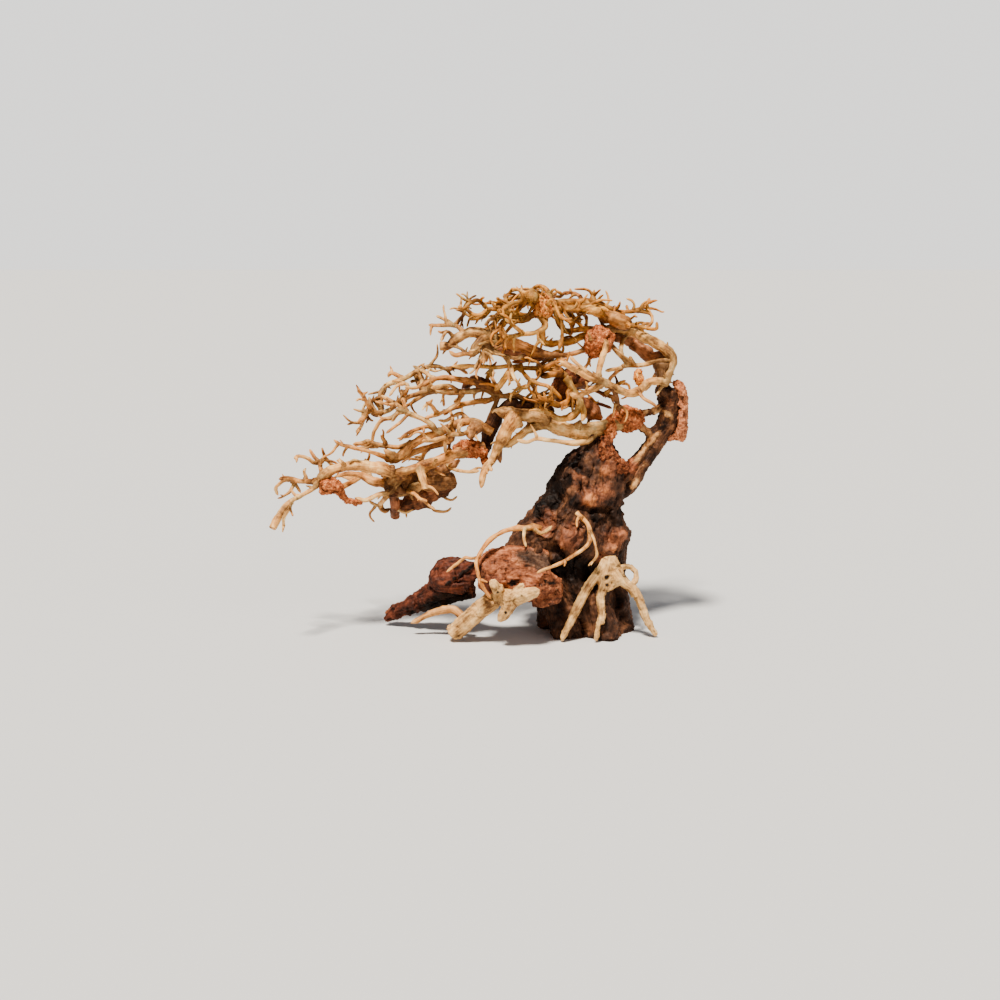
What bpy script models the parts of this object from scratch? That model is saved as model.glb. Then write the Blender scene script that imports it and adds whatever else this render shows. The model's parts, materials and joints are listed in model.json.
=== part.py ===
"""Aquarium root wood: a windswept little tree of pale, branchy root pieces glued to a dark, leaning stump.

Metres, +Z up, +X to the right, +Y away from the viewer. The origin is on the ground under the stump's axis.
Every route is a string of "column,row" points of a picture that is 1000 pixels square. The eye below turns
such a point into a place in space, once the point has a depth: millimetres behind the stump's axis.
"""

import math
import random
from collections import namedtuple

import bmesh
import bpy
import numpy as np
from mathutils import Vector, noise

MM = 0.001

# Driving dimensions of the wood
SPREAD = 0.268  # from the cut tip of the low bough to the bark on the elbow
SPREAD_PIXELS = 688 - 273
GAP = 0.3 * MM  # between pieces that are glued or lean on each other
STICK_GAP = 0.4 * MM  # round a stick that passes through a filling

# The eye that the routes are seen from
FOCAL = 1395.0  # pixels
MIDDLE = 500.0  # column and row of the picture's centre
EYE_TILT = math.radians(9.6)  # looking down
AXIS_COLUMN = 585.0  # the stump's axis at the ground
TOUCH_ROW = 641.0  # the lowest edge of the front root, which lies on the ground
TOUCH_DEPTH = -30.0 * MM
EYE_DISTANCE = SPREAD * FOCAL / SPREAD_PIXELS
EYE_HEIGHT = (EYE_DISTANCE + TOUCH_DEPTH) * math.tan(EYE_TILT + math.atan((TOUCH_ROW - MIDDLE) / FOCAL))
EYE_SIDE = -EYE_DISTANCE * (AXIS_COLUMN - MIDDLE) / FOCAL
PIXEL = SPREAD / SPREAD_PIXELS

# How finely the routes are read and the tubes are made
READ_STEP = 3.0  # pixels between two readings of a route
RING_SLACK = 0.6 * MM  # how far a tube may cut a bend short
# A tube's sides, for mean radii up to each limit
SIDES = ((1.25 * MM, 4), (2.2 * MM, 5), (3.6 * MM, 6), (6.0 * MM, 8), (math.inf, 12))
TIP_TAPER = 0.75  # a broken end's last ring, as a share of its radius
TIP_REACH = 0.6  # how far a broken end's point stands past that ring, in radii
BUMP_WIDTH = 0.9  # a rough tube's bumps, in mean radii
TRUNK_SIDES = 30
CHUNK_SIDES = 12
CHUNK_CORNER = math.pi / 12  # turns a chunk's rings so that they have points at its four edges
SQUARE = 8  # how square a chunk's rings are: 2 is round
SHARP = math.radians(40)  # a sharper edge is shaded as a crease

SOLVER = "MANIFOLD"  # the exact one loses a lump among the crossing sticks
FLAT_ENOUGH = math.radians(3)  # faces that meet at a smaller angle are made one

# How sticks that cross are bent clear of each other, in depth
BEND_ROUNDS = 160
CLEAR = 0.8 * MM
ROOT_FREE = 9.0 * MM  # so close to its root a stick may touch its own bough
SOFTEN = 4.0  # readings over which a bend is spread

# Back twigs: short sticks that leave the stouter ones
STOUT = 2 * PIXEL  # a stick this thick in radius can carry one
TWIG_THICK = (4.5, 4, 3)  # pixels, root to tip
TWIG_JOINT = (6, 11)  # pixels between its bends
TWIG_LEAN = (20, 60)  # degrees off its stick
TWIG_AWAY = (16, 28)  # millimetres that it reaches in depth
CROWN_ROW = 294.0  # no back twig rises above this row

WOODS = {
    "pale": ((0.55, 0.37, 0.20), 0.62),
    "tan": ((0.42, 0.24, 0.11), 0.65),
    "brown": ((0.17, 0.08, 0.04), 0.72),
    "dark": ((0.07, 0.035, 0.02), 0.78),
    "red": ((0.23, 0.09, 0.045), 0.75),
    "bark": ((0.36, 0.17, 0.09), 0.8),
    "glue": ((0.34, 0.12, 0.05), 0.85),
}

# A stick has a route, thicknesses in pixels at even steps along it, depths at even steps after its root,
# and how many times deeper than wide it is. A sawn stick ends flat.
Stick = namedtuple("Stick", "route thick depth deep sawn", defaults=(1.0, False))

# A bough has the depth of its first stick's root, its wood, its sticks, how many back twigs it gets,
# how rough its surface is, and the pieces that it is seated on
Bough = namedtuple("Bough", "root wood sticks twigs rough seats", defaults=(0, 0.0, ()))

ELBOW_LIMB = {
    "limb": Stick("598,494 612,486 627,477 638,465 648,452 656,440 664,429 670,416 670,403 666,391",
                  (30, 34, 30, 20, 17, 16, 17, 20, 21, 19), (2, 4, 6, 8, 8, 8)),
    "inner_arm": Stick("652,450 648,443 650,435 645,430 638,424", (6, 5, 6), (5, 4)),
    "short_arm": Stick("665,426 657,428 650,432 645,430", (7, 6), (5,)),
    "upper_arm": Stick("668,404 660,406 657,410 650,412 636,414", (8, 6, 7), (4, 3)),
    "knuckle": Stick("668,398 661,392 659,388", (13, 9), (2,)),
}

BARK_PLATE = {
    "plate": Stick("677,382 680,390 681,400 681,412 681,424 680,433 679,440",
                   (9, 12, 13, 14, 14, 14, 13), (9, 9, 9, 9), 2.1, True),
    "skirt": Stick("681,424 676,433 668,439", (10, 12, 8), (9, 8), 1.4, True),
}

TOP_BOUGH = {
    "arch": Stick("664,385 668,376 671,368 673,360 668,352 660,346 "
                  "650,340 640,335 630,331 620,328 612,329 602,333",
                  (7, 7, 8, 9, 9, 8, 8, 8), (6, 5, 2, 0)),
    "shadow_limb": Stick("667,354 652,358 645,352 638,347 630,340 620,337 610,338",
                         (8, 14, 13, 9), (17, 20, 10)),
    "level_twig": Stick("671,360 660,361 650,363 640,365 627,366 617,369 605,371",
                        (5, 5, 4, 3.5), (4, -3, -9)),
    "strut": Stick("661,362 661,370 661,378 664,387", (5, 4, 5), (5, 5)),
    "swan": Stick("667,382 655,381 650,381 644,386 638,391 630,393 620,390 610,385 600,381 590,378 583,374 "
                  "577,370 570,366 560,361", (6, 7, 7, 7, 6, 5), (2, -7, -14, -17, -20)),
    "slanting_stick": Stick("628,364 623,358 617,351 611,345 603,341", (4, 5, 5), (-3, -2)),
    "tooth": Stick("634,366 630,356", (4, 3), (-10,)),
    "post": Stick("598,380 600,365 603,355 606,346 603,338", (6, 6, 7), (-12, -3)),
    "link": Stick("602,380 592,375 585,370 576,363 570,356", (4, 3), (-26, -24)),
    "sweep": Stick("604,383 593,389 585,393 577,396 568,392", (6, 5, 6), (-16, -8)),
    "dark_drop": Stick("612,387 617,400 619,412", (5, 5), (-7, 0)),
    "cross_tie": Stick("638,390 643,398 650,402 657,407", (4, 3), (-9, -14)),
}

CROWN_RIGHT = {
    "upper": Stick("546,306 560,303 570,303 590,302 600,304 607,307 616,310", (7, 8, 8, 7, 5), (6, 12, 20)),
    "lower": Stick("549,312 560,309 575,309 590,310 600,313 608,317 615,320 622,322 630,326",
                   (6, 7, 8, 9, 8, 5), (-3, -10, -12)),
    "block": Stick("602,315 612,318 622,322 632,326", (8, 14, 15, 9), (-12, -12, -12)),
    "brace": Stick("556,313 558,322 566,331 580,329 590,329 602,331", (5, 6, 6, 6), (2, 2, 0)),
    "upper_stub": Stick("593,302 593,296 594,290", (5, 4), (16,)),
    "far_twig": Stick("609,309 620,312 636,311 645,312 651,314 653,319", (5, 4, 4, 3), (26, 30)),
    "thorn": Stick("628,311 627,305", (3, 3), (33,)),
    "far_thorn": Stick("647,312 648,304", (3, 3), (26,)),
    "low_tip": Stick("626,324 638,327 644,332", (5, 3), (-20,)),
    "hook": Stick("634,326 645,328 652,329 657,328 657,322", (4, 4, 3), (-26, -34)),
    "post": Stick("560,311 562,325 562,338 559,350", (4, 3, 4), (-2, -3)),
    "slant": Stick("561,316 570,322 577,322 583,327", (4, 3), (-14,)),
    "fan": Stick("563,309 571,314 576,320 581,328", (4, 4, 3), (8, 10)),
    "fan_rib": Stick("568,308 578,311 588,318", (4, 3), (14,)),
    "cross_stick": Stick("560,304 566,309 574,311 580,309", (4, 3), (-20,)),
    "back_arm": Stick("585,302 578,295 566,293 558,298", (4, 3), (26, 34)),
}

CROWN_LEFT = {
    "main": Stick("540,311 527,317 515,314 507,315 500,310 493,309 484,308",
                  (7, 7, 6, 5, 4), (-4, -12, -16)),
    "arch": Stick("538,305 528,300 524,297 517,297 510,299 503,303 494,307", (5, 5, 4), (8, 16, 16)),
    "second": Stick("536,307 526,302 518,302 510,304 501,310", (4, 4), (-16, -26)),
    "ring": Stick("487,308 482,303 477,300 470,303 466,307 471,313 477,315 483,313 487,309",
                  (4, 4, 3, 3, 4), (-16, -22, -22, -16)),
    "ring_twig": Stick("468,306 463,309 458,306", (3, 3), (-26,)),
    "outer": Stick("490,309 485,316 477,318 470,316 462,312", (4, 3), (-8, -4)),
    "tie": Stick("500,308 495,304 489,301", (3, 3), (24,)),
    "under": Stick("530,317 520,320 510,321 498,324", (5, 4, 3), (2, 8)),
    "basket": Stick("541,318 546,326 541,330 534,333 525,334 515,336 503,337", (5, 5, 4), (-8, -14, -20)),
    "basket_top": Stick("530,318 522,322 512,321 503,325 500,331 504,337", (4, 3), (-12, -20)),
    "tangle": Stick("528,301 521,307 513,306 508,312 501,315", (4, 4, 3), (14, 18)),
    "tangle_tie": Stick("515,314 519,308 524,304 527,298", (4, 3), (-22,)),
    "tangle_drop": Stick("507,314 505,308 504,301 508,296", (4, 3), (14,)),
    "side_twig": Stick("500,310 496,316 490,320 485,325", (4, 3), (12,)),
    "basket_drop": Stick("539,331 538,337 540,344", (3, 3), (-12,)),
    "long_loop": Stick("545,320 543,331 543,341 550,344 558,343 570,342 583,336 594,333",
                       (5, 6, 7, 6), (6, 10, 4)),
    "tuft": Stick("541,304 538,296 532,290 524,291", (5, 4, 3), (-6, -10)),
    "tuft_spike": Stick("532,291 531,297", (3, 3), (-16,)),
    "tuft_curl": Stick("544,303 550,297 546,290 540,286 534,287", (5, 5, 4), (8, 10)),
    "tuft_chip": Stick("534,296 531,291", (8, 7), (4,), 0.6, True),
    "drop": Stick("546,306 552,299 556,308 561,319", (4, 3), (-12, -16)),
}

UPPER_BOUGH = {
    "stem": Stick("596,347 585,350 575,353 565,355 556,355 545,354 530,350 518,345 505,341 492,338 482,336",
                  (5, 5, 5, 8, 12, 14, 12, 9), (0, -2, -6, -12)),
    "antler": Stick("497,339 488,336 480,333 471,332 463,335 455,340 449,346 440,346",
                    (10, 11, 10, 9, 9, 9), (-15, -18, -20), 1, True),
    "fork": Stick("492,338 484,339 478,345 474,352 471,357", (9, 10, 9, 8), (-20, -20)),
    "fork_link": Stick("474,354 463,354 455,355 449,351", (5, 4), (-26,)),
    "loop": Stick("487,341 484,352 479,362", (5, 4), (-4,)),
    "under": Stick("487,342 490,349 497,353 505,356 515,358 524,355", (5, 4, 4), (-16, -10)),
    "left_twig": Stick("466,334 461,330 457,326 450,325 440,325 429,325", (5, 4, 4), (-4, 4)),
    "left_spray": Stick("456,326 452,324 446,320 437,316", (4, 3), (12,)),
    "left_spur": Stick("455,339 448,331 444,335 441,341", (4, 3), (-28,)),
    "rising_twig": Stick("455,325 460,319 464,315 463,311 456,310", (4, 3), (-10, -14)),
    "far_limb": Stick("545,355 530,357 515,354 500,349 488,346 478,348", (8, 9, 8, 7, 4), (10, 18, 22)),
}

CENTRE_BOUGH = {
    "shelf": Stick("566,376 555,370 545,369 530,368 520,368 510,366 "
                   "500,367 490,367 475,366 465,366 452,366",
                   (6, 5, 4, 4, 4), (0, 2, 0, -4)),
    "orange_arm": Stick("524,368 515,368 508,374 500,385 495,391", (7, 6, 6), (-4, -3)),
    "prong": Stick("484,366 491,368 489,374 486,382", (4, 4), (6,)),
    "brace": Stick("535,369 545,362 552,356 560,352", (4, 4), (12, 14)),
    "second_brace": Stick("538,376 541,373 547,367 555,363 566,359", (4, 4), (-12, -14)),
    "short_arm": Stick("562,372 550,375 541,377", (7, 6), (-8,)),
    "slide": Stick("520,369 527,377 532,381 540,384 548,386 555,392 562,399", (4, 4, 4), (-14, -18, -12)),
    "rung": Stick("531,381 525,388 517,385", (3, 3), (-24,)),
    "bowl": Stick("572,388 580,402 577,412 570,417 562,419 556,417 548,410", (6, 7, 7, 5), (-8, -12, -16)),
    "small_bowl": Stick("568,392 568,400 563,404 556,406 549,401", (5, 4), (-18, -24)),
    "peg": Stick("581,405 584,411 582,421", (5, 5), (-18,)),
    "thread": Stick("560,406 552,404 545,400 536,400", (3, 3), (-30,)),
    "low_thread": Stick("556,416 552,415 545,411 538,404", (3, 3), (-26,)),
    "olive_block": Stick("576,399 585,406 593,412 602,419", (9, 16, 18, 12), (8, 6)),
    "dark_twig": Stick("586,400 600,404 612,408", (4, 3), (14, 14)),
    "back_arm": Stick("560,372 552,362 540,356 527,360 512,362", (6, 5, 4), (16, 24, 28)),
    "back_fan": Stick("576,386 590,388 604,394 616,398", (5, 4), (20, 26)),
}

MIDDLE_BOUGH = {
    "rail": Stick("556,396 542,401 527,400 517,396 510,396 497,395 485,389 475,391 465,392 450,392 440,391 "
                  "432,390 425,392 415,395 408,397 400,402 392,408 385,412 378,415 371,414",
                  (7, 6, 6, 6, 6, 5, 5, 4.5), (4, 4, 6, 8, 8)),
    "tip": Stick("384,413 376,413 370,410 366,413 363,419 357,422", (5, 6, 5), (2,)),
    "loop": Stick("420,376 417,371 408,377 400,380 392,383 385,386 381,392 380,400 383,411",
                  (5, 5, 5, 5), (16, 18, 10)),
    "knot": Stick("424,390 420,380 421,372", (6, 9, 8), (18, 22)),
    "loop_leg": Stick("383,410 378,405 373,399", (5, 4), (12,)),
    "ear": Stick("404,379 397,375 391,373 388,377", (4, 4), (26,)),
    "nose": Stick("375,412 371,403 369,397", (4, 3), (16,)),
    "arc": Stick("391,409 397,402 403,396 406,391", (4, 3), (-4,)),
    "small_arc": Stick("404,396 408,386 402,384 395,388 389,396", (4, 3), (-10, -14)),
    "roof": Stick("420,372 425,367 433,366 440,367 448,370 456,368", (5, 4, 4), (28, 30)),
    "upper_rail": Stick("496,391 485,386 474,382 460,380 450,378 440,378 430,381 421,386",
                        (6, 8, 6, 5, 4.5), (0, -4)),
    "dark_end": Stick("484,386 476,380 468,384 462,388", (8, 9, 6), (14,)),
    "whisker": Stick("430,388 425,383 418,387 412,388 405,387", (4, 4, 3), (-12,)),
    "inner_rail": Stick("458,391 450,386 440,386 431,388", (4, 4), (-16,)),
    "under_rail": Stick("438,391 428,393 420,398 410,404 399,410", (4, 3), (20,)),
    "branch": Stick("463,392 460,397 457,403 449,409 440,413 432,416 424,419", (5, 4, 4), (-2, -8)),
    "lower_branch": Stick("494,398 485,401 478,401 470,403 462,405 452,409 444,415", (6, 5, 4), (12, 16)),
    "branch_toe": Stick("450,410 453,419 449,425", (3, 3), (-14,)),
    "needle": Stick("449,392 443,395 444,406", (3, 3), (18,)),
    "drop": Stick("498,395 495,405 492,412 489,420 488,430", (5, 5, 5), (0, 0)),
    "heel": Stick("437,413 432,406 426,402", (4, 3), (-18,)),
}

LEDGE_BOUGH = {
    "ledge": Stick("492,432 485,428 478,423 470,421 460,423 450,427 440,432 "
                   "430,435 420,440 412,445 405,452 397,458 388,460",
                   (9, 9, 8, 8, 8, 8, 9, 10), (-4, -6, -10, -14)),
    "lower_layer": Stick("452,432 450,440 430,447 415,452 400,458 390,463", (7, 6, 6), (0, -4, -10)),
    "flare": Stick("397,458 389,453 384,450", (8, 6), (-20,)),
    "long_twig": Stick("390,459 380,455 370,452 360,449 350,447 340,444 334,440", (5, 4, 4, 3), (-24, -26)),
    "left_twig": Stick("414,443 405,446 395,447 385,446 375,444 368,441 362,443 353,444",
                       (6, 5, 4), (-4, 2)),
    "twig_stub": Stick("386,445 384,440 381,435", (4, 3), (-8,)),
    "climber": Stick("442,430 437,431 432,425 425,420 418,417 410,414 402,411 395,409",
                     (6, 5, 5, 4), (-14, -18, -24)),
    "curl": Stick("400,411 391,418 384,419 379,423 375,430 373,436 372,442", (4, 4, 3), (-26, -18)),
    "curl_twig": Stick("408,414 400,423 393,428 386,433", (3, 3), (-32,)),
    "stroke": Stick("436,432 428,427 415,430 405,435 399,441", (4, 3), (-22, -28)),
    "bridge": Stick("473,424 468,431 463,434 455,434 447,435 445,442 446,454", (5, 4, 4), (-16, -16, -12)),
    "back_twig": Stick("470,422 463,414 454,416 446,421 438,420", (5, 4, 3), (10, 18, 20)),
    "knob": Stick("478,425 473,430 470,438", (8, 12, 7), (-14,)),
}

LOW_BOUGH = {
    "rail": Stick("484,447 470,450 460,453 450,456 440,460 430,464 420,467 405,471 395,473 386,475",
                  (10, 11, 11, 10, 9, 8, 6), (-10, -16, -18)),
    "mast": Stick("397,473 389,471 380,468 370,467 360,466 350,466 340,468 330,471 323,476 316,482",
                  (8, 13, 12, 10, 9, 9, 10, 7), (-20, -26, -30)),
    "down_stub": Stick("420,467 422,475 424,482 425,489", (8, 7, 6), (-22, -24), 1, True),
    "under_mast": Stick("406,472 392,481 385,483 375,482 368,479 360,475 352,474 345,474 337,477",
                        (10, 12, 9, 5, 4), (-8, -4, -10)),
    "cut_tip": Stick("318,481 314,488 302,495 293,500 285,507 280,514 276,522 273,528",
                     (5, 4, 5, 6, 7), (-34, -44, -52), 1, True),
    "far_twig": Stick("318,480 312,482 305,481 299,481 292,479 286,478 279,479", (5, 5, 4), (-22, -14)),
    "far_curl": Stick("290,479 283,481 279,484 276,487 276,491 278,495", (4, 3), (-8,)),
    "tip_spur": Stick("291,480 294,483 298,488 301,493", (4, 3), (-16,)),
    "thorn": Stick("305,481 306,476 304,472 306,468", (4, 3), (-24,)),
    "riser": Stick("323,476 321,470 320,465 319,461 315,458 312,453 310,449", (4, 4, 3), (-20, -14)),
    "riser_twig": Stick("318,462 314,463 309,459 303,457 298,456 294,458", (4, 3), (-30,)),
    "riser_fork": Stick("320,463 325,458 329,462 336,467", (4, 3), (-12,)),
    "spur": Stick("345,467 342,462 337,460", (4, 3), (-34,)),
    "lower_stick": Stick("398,480 392,491 388,493 380,494 372,497 365,500 355,498", (6, 5, 4), (-16, -20)),
    "lower_back": Stick("396,486 402,491 410,489 417,485", (6, 5), (8,)),
    "hanging_stub": Stick("387,494 384,500 380,505 384,511 390,508", (6, 5, 5, 4), (2, 4)),
    "hanging_block": Stick("393,492 395,504 395,516", (7, 8, 8), (10,), 1, True),
    "floor_twig": Stick("382,506 375,505 369,501", (4, 3), (6,)),
    "wedge": Stick("393,488 403,481 416,480 430,481 442,482 452,481",
                   (9, 13, 14, 15, 15, 12), (4, 8, 10), 1, True),
    "wedge_toe": Stick("446,486 434,490 424,497 413,502 402,504 397,500", (10, 14, 15, 13, 9), (12, 14, 12)),
    "wedge_rib": Stick("393,494 404,492 415,488 425,486", (7, 9, 8), (2, 4)),
    "wedge_twig": Stick("423,497 425,505 435,509", (5, 3), (8,)),
    "upper_chip": Stick("434,472 443,469 452,465 460,460", (6, 10, 9), (2, 4)),
    "back_mast": Stick("385,474 376,470 366,472 355,480 344,486 333,488", (7, 6, 5), (6, 6, -6)),
    "thin_link": Stick("447,465 452,469 460,471 470,472 479,471", (3, 3), (-14, -21)),
}

CROSS_LIMB = {
    "limb": Stick("624,423 608,426 600,428 590,431 580,432 570,431 560,428 550,423 540,424 528,427",
                  (12, 14, 15, 14, 12, 10), (-2, -6, -8), 1, True),
    "bump": Stick("577,430 580,420", (9, 6), (-8,)),
    "bridge": Stick("550,423 542,418 533,416 523,415 513,414 504,412 495,410", (10, 13, 13, 9), (-14, -12)),
    "drop": Stick("521,415 514,420 508,428 504,436 500,444 497,450 494,457 488,465 484,472 482,480 481,488",
                  (14, 13, 10, 8, 7, 3), (-14, -18, -24)),
    "drop_spur": Stick("488,465 492,471", (4, 3), (-26,)),
    "dark_stub": Stick("498,448 500,463", (6, 5), (-12,)),
    "left_arm": Stick("535,426 526,431 519,436 512,442 503,447", (9, 7, 6), (-10, -15)),
    "under_arm": Stick("597,430 590,440 580,443 570,443 560,442 547,440 537,439 527,442 517,440",
                       (6, 5, 4, 4), (-14, -18, -14)),
}

CORE_BRANCH = {
    "core": Stick("500,409 495,419 490,430 487,442 484,454 485,466", (9, 15, 15, 12, 8, 6), (2, 3, -2)),
    "arm": Stick("499,410 512,405 526,405 541,408 553,411", (10, 14, 13, 12, 8), (4, 6, 6)),
}

HEART_STUB = {
    "knot": Stick("576,368 570,376 562,384 556,392 552,398", (9, 17, 20, 15, 8), (4, 4, 2)),
    "lobe": Stick("562,384 572,384 582,380 590,376", (16, 17, 14, 9), (8, 9)),
    "low_lobe": Stick("556,392 562,399 570,403 579,404", (12, 12, 10, 8), (8, 8)),
}

LEFT_LOG = {
    "log": Stick("474,590 458,590 440,593 425,599 410,606 397,612 386,620",
                 (13, 20, 23, 21, 17, 14, 8), (-11, -4, 4, 9)),
    "split": Stick("418,603 404,603 392,609 386,613", (8, 7, 4), (9, 13)),
}

FRONT_ROOT = {
    "stub": Stick("503,592 494,599 485,606 475,614 465,623 453,633",
                  (17, 18, 18, 18), (-38, -34, -30), 1, True),
    "fork": Stick("498,597 508,598 518,596 528,594 538,591", (15, 18, 17, 13, 9), (-50, -53, -52)),
    "fork_toe": Stick("512,598 509,606 505,613 500,620", (15, 13, 11, 8), (-51, -47)),
    "fork_horn": Stick("501,595 496,588 492,581", (13, 10, 7), (-53, -53)),
    "fork_knob": Stick("514,597 518,590 522,585", (12, 9, 6), (-53,)),
}

SIDE_ROOT = {
    "root": Stick("470,620 462,616 455,610 447,609 438,611 428,615 420,619 411,623",
                  (9, 8, 8, 6, 4), (-22, -18, -16)),
}

RIGHT_FOOT = {
    "left_toe": Stick("612,545 609,556 603,567 596,576 588,587 580,602 571,620 562,639",
                      (7, 11, 10, 9, 9, 8, 5), (-21, -28, -31, -33)),
    "middle_toe": Stick("609,558 607,570 604,583 601,598 602,615 598,630 596,640",
                        (10, 10, 9, 9, 7, 5), (-30, -34)),
    "right_toe": Stick("610,557 616,570 623,581 633,590 641,604 647,620 656,635",
                       (12, 12, 10, 9, 8, 5), (-22, -22, -22)),
    "cone": Stick("609,552 609,562 609,573 608,584", (8, 17, 25, 30), (-18, -20, -24), 0.6),
    "ring": Stick("618,572 622,567 630,567 636,573 635,581 630,587", (6, 6, 5, 6), (-12, -14, -19)),
    "ridge": Stick("612,556 616,549 618,540", (6, 4, 3), (-17,)),
}

CURL_ROOT_LEFT = {
    "curl": Stick("541,528 535,527 525,528 516,528 505,531 497,535 490,540 484,547 479,555 476,562 "
                  "477,570 479,578 482,585 487,593 491,599",
                  (7, 7, 6, 5, 5, 4.5, 4.5), (-27, -26, -28, -36, -45, -50, -50, -49)),
    "twig": Stick("478,558 470,558 466,557 460,561 454,566 447,572", (4, 4, 3), (-36, -34)),
    "thorn": Stick("525,528 524,538 526,547", (4, 3), (-32,)),
    "upper_thorn": Stick("534,529 541,533 548,530 552,526", (5, 4), (-31,)),
}

CURL_ROOT_FRONT = {
    "curl": Stick("577,513 583,519 588,525 590,533 590,540 587,546 "
                  "580,552 571,557 562,562 552,567 544,570 537,573",
                  (6, 6, 5, 4.5, 4, 3), (-30, -38, -44, -48, -50)),
    "hook": Stick("583,519 580,516 577,521 577,527", (4, 3), (-36,)),
    "second_curl": Stick("590,531 594,540 596,548 597,555 593,561 588,566", (4, 3), (-42, -40)),
}

GLUE_SHOULDER = {
    "lump": Stick("606,436 606,449 610,460 619,467 629,468", (9, 14, 17, 15, 9), (-13, -12, -10), 0.6),
}
GLUE_NECK = {
    "lump": Stick("615,422 625,419 634,418 642,414", (13, 22, 19, 10), (1, 3)),
    "drip": Stick("612,424 610,434 608,444", (12, 9, 6), (-7, -10)),
}
GLUE_ELBOW = {"lump": Stick("640,370 638,377 641,384", (8, 13, 9), (-5, -6))}
GLUE_TOP = {"lump": Stick("606,330 599,341 591,354", (19, 28, 17), (-5, -5))}
GLUE_CROWN = {"lump": Stick("541,295 542,304 543,317", (12, 17, 18), (-2, -2))}
GLUE_LOW = {
    "lump": Stick("456,452 466,448 477,450 486,454", (12, 19, 18, 9), (-6, -5)),
    "tail": Stick("478,452 484,458 485,466", (10, 7, 5), (-6,)),
}
GLUE_TIP = {
    "lump": Stick("320,488 331,486 342,489", (12, 18, 11), (-29, -28)),
    "trail": Stick("338,490 346,499 354,503 362,502", (9, 6, 5), (-24, -22)),
}

BOUGHS = {
    "elbow_limb": Bough(0, "brown", ELBOW_LIMB, 0, 0.06, ("trunk",)),
    "bark_plate": Bough(9, "bark", BARK_PLATE, 0, 0.06),
    "cross_limb": Bough(-2, "pale", CROSS_LIMB, 1, 0.0, ("trunk",)),
    "top_bough": Bough(6, "pale", TOP_BOUGH, 4),
    "upper_bough": Bough(0, "pale", UPPER_BOUGH, 5),
    "low_bough": Bough(-4, "pale", LOW_BOUGH, 6),
    "ledge_bough": Bough(-2, "pale", LEDGE_BOUGH, 5),
    "middle_bough": Bough(0, "pale", MIDDLE_BOUGH, 6),
    "centre_bough": Bough(-2, "tan", CENTRE_BOUGH, 4),
    "crown_right": Bough(0, "tan", CROWN_RIGHT, 4),
    "crown_left": Bough(-2, "tan", CROWN_LEFT, 7),
}

# Pieces that fill in round the boughs and roots, and are hollowed where those pass
FILLINGS = {
    "core_branch": Bough(2, "brown", CORE_BRANCH, 0, 0.08),
    "heart_stub": Bough(4, "red", HEART_STUB, 0, 0.08),
    "glue_shoulder": Bough(-11, "glue", GLUE_SHOULDER, 0, 0.15, ("trunk",)),
    "glue_neck": Bough(0, "glue", GLUE_NECK, 0, 0.15, ("trunk",)),
    "glue_elbow": Bough(-3, "glue", GLUE_ELBOW, 0, 0.15),
    "glue_top": Bough(-4, "glue", GLUE_TOP, 0, 0.15),
    "glue_crown": Bough(-2, "glue", GLUE_CROWN, 0, 0.15),
    "glue_low": Bough(-4, "glue", GLUE_LOW, 0, 0.15),
    "glue_tip": Bough(-28, "glue", GLUE_TIP, 0, 0.15),
}

ROOTS = {
    "left_log": Bough(-14, "red", LEFT_LOG, 0, 0.10, ("base_slab", "left_block")),
    "front_root": Bough(-38, "pale", FRONT_ROOT, 0, 0.05, ("trunk", "base_slab")),
    "side_root": Bough(-24, "pale", SIDE_ROOT, 0, 0.05, ("left_block",)),
    "right_foot": Bough(-17, "pale", RIGHT_FOOT, 0, 0.05, ("trunk",)),
    "curl_root_left": Bough(-24, "pale", CURL_ROOT_LEFT, 0, 0.0, ("trunk", "base_slab", "left_block")),
    "curl_root_front": Bough(-23, "pale", CURL_ROOT_FRONT, 0, 0.0, ("trunk", "base_slab")),
}

# The stump's outline by rows of the picture: left and right edge in columns, front and back depth in mm
TRUNK = [
    (434, 588, 612, -8, 9),
    (447, 582, 614, -12, 11),
    (459, 566, 619, -16, 14),
    (471, 557, 625, -18, 17),
    (483, 551, 628, -20, 19),
    (495, 545, 623, -22, 21),
    (507, 536, 622, -24, 23),
    (519, 525, 626, -26, 25),
    (531, 515, 630, -28, 27),
    (543, 507, 625, -29, 28),
    (556, 508, 622, -27, 28),
    (572, 518, 621, -25, 28),
    (592, 532, 624, -25, 29),
    (612, 540, 629, -27, 31),
    (TOUCH_ROW - 8, 543, 632, -29, 33),
]

RIDGE_HEIGHT = 45 * MM  # how far up the stump its root ridges reach
RIDGE_RISE = 4.0 * MM
FLUTES = ((2.2 * MM, 5, 55.0), (1.1 * MM, 9, -80.0))  # rise, how many round it, winding per metre up
CALM_TOP = 60 * MM  # the flutes fade out over this stretch below the eye's height

# A sawn branch stub on the stump's front
TRUNK_STUB = {"stub": Stick("548,538 541,543 534,547", (15, 14, 13), (-24, -33), 1, True)}
STUB_ROOT = -14  # depth in millimetres, inside the stump

# Burls on the stump's front: column and row of the middle, width in pixels, rise in millimetres
BURLS = [
    (574, 473, 13, 2.5),
    (590, 497, 12, 2.5),
    (545, 517, 14, 3.0),
    (575, 538, 15, 3.0),
    (610, 545, 14, 3.0),
    (560, 495, 9, -2.5),
    (598, 520, 9, -3.0),
    (553, 541, 8, -3.0),
    (607, 480, 8, -2.5),
]

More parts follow.
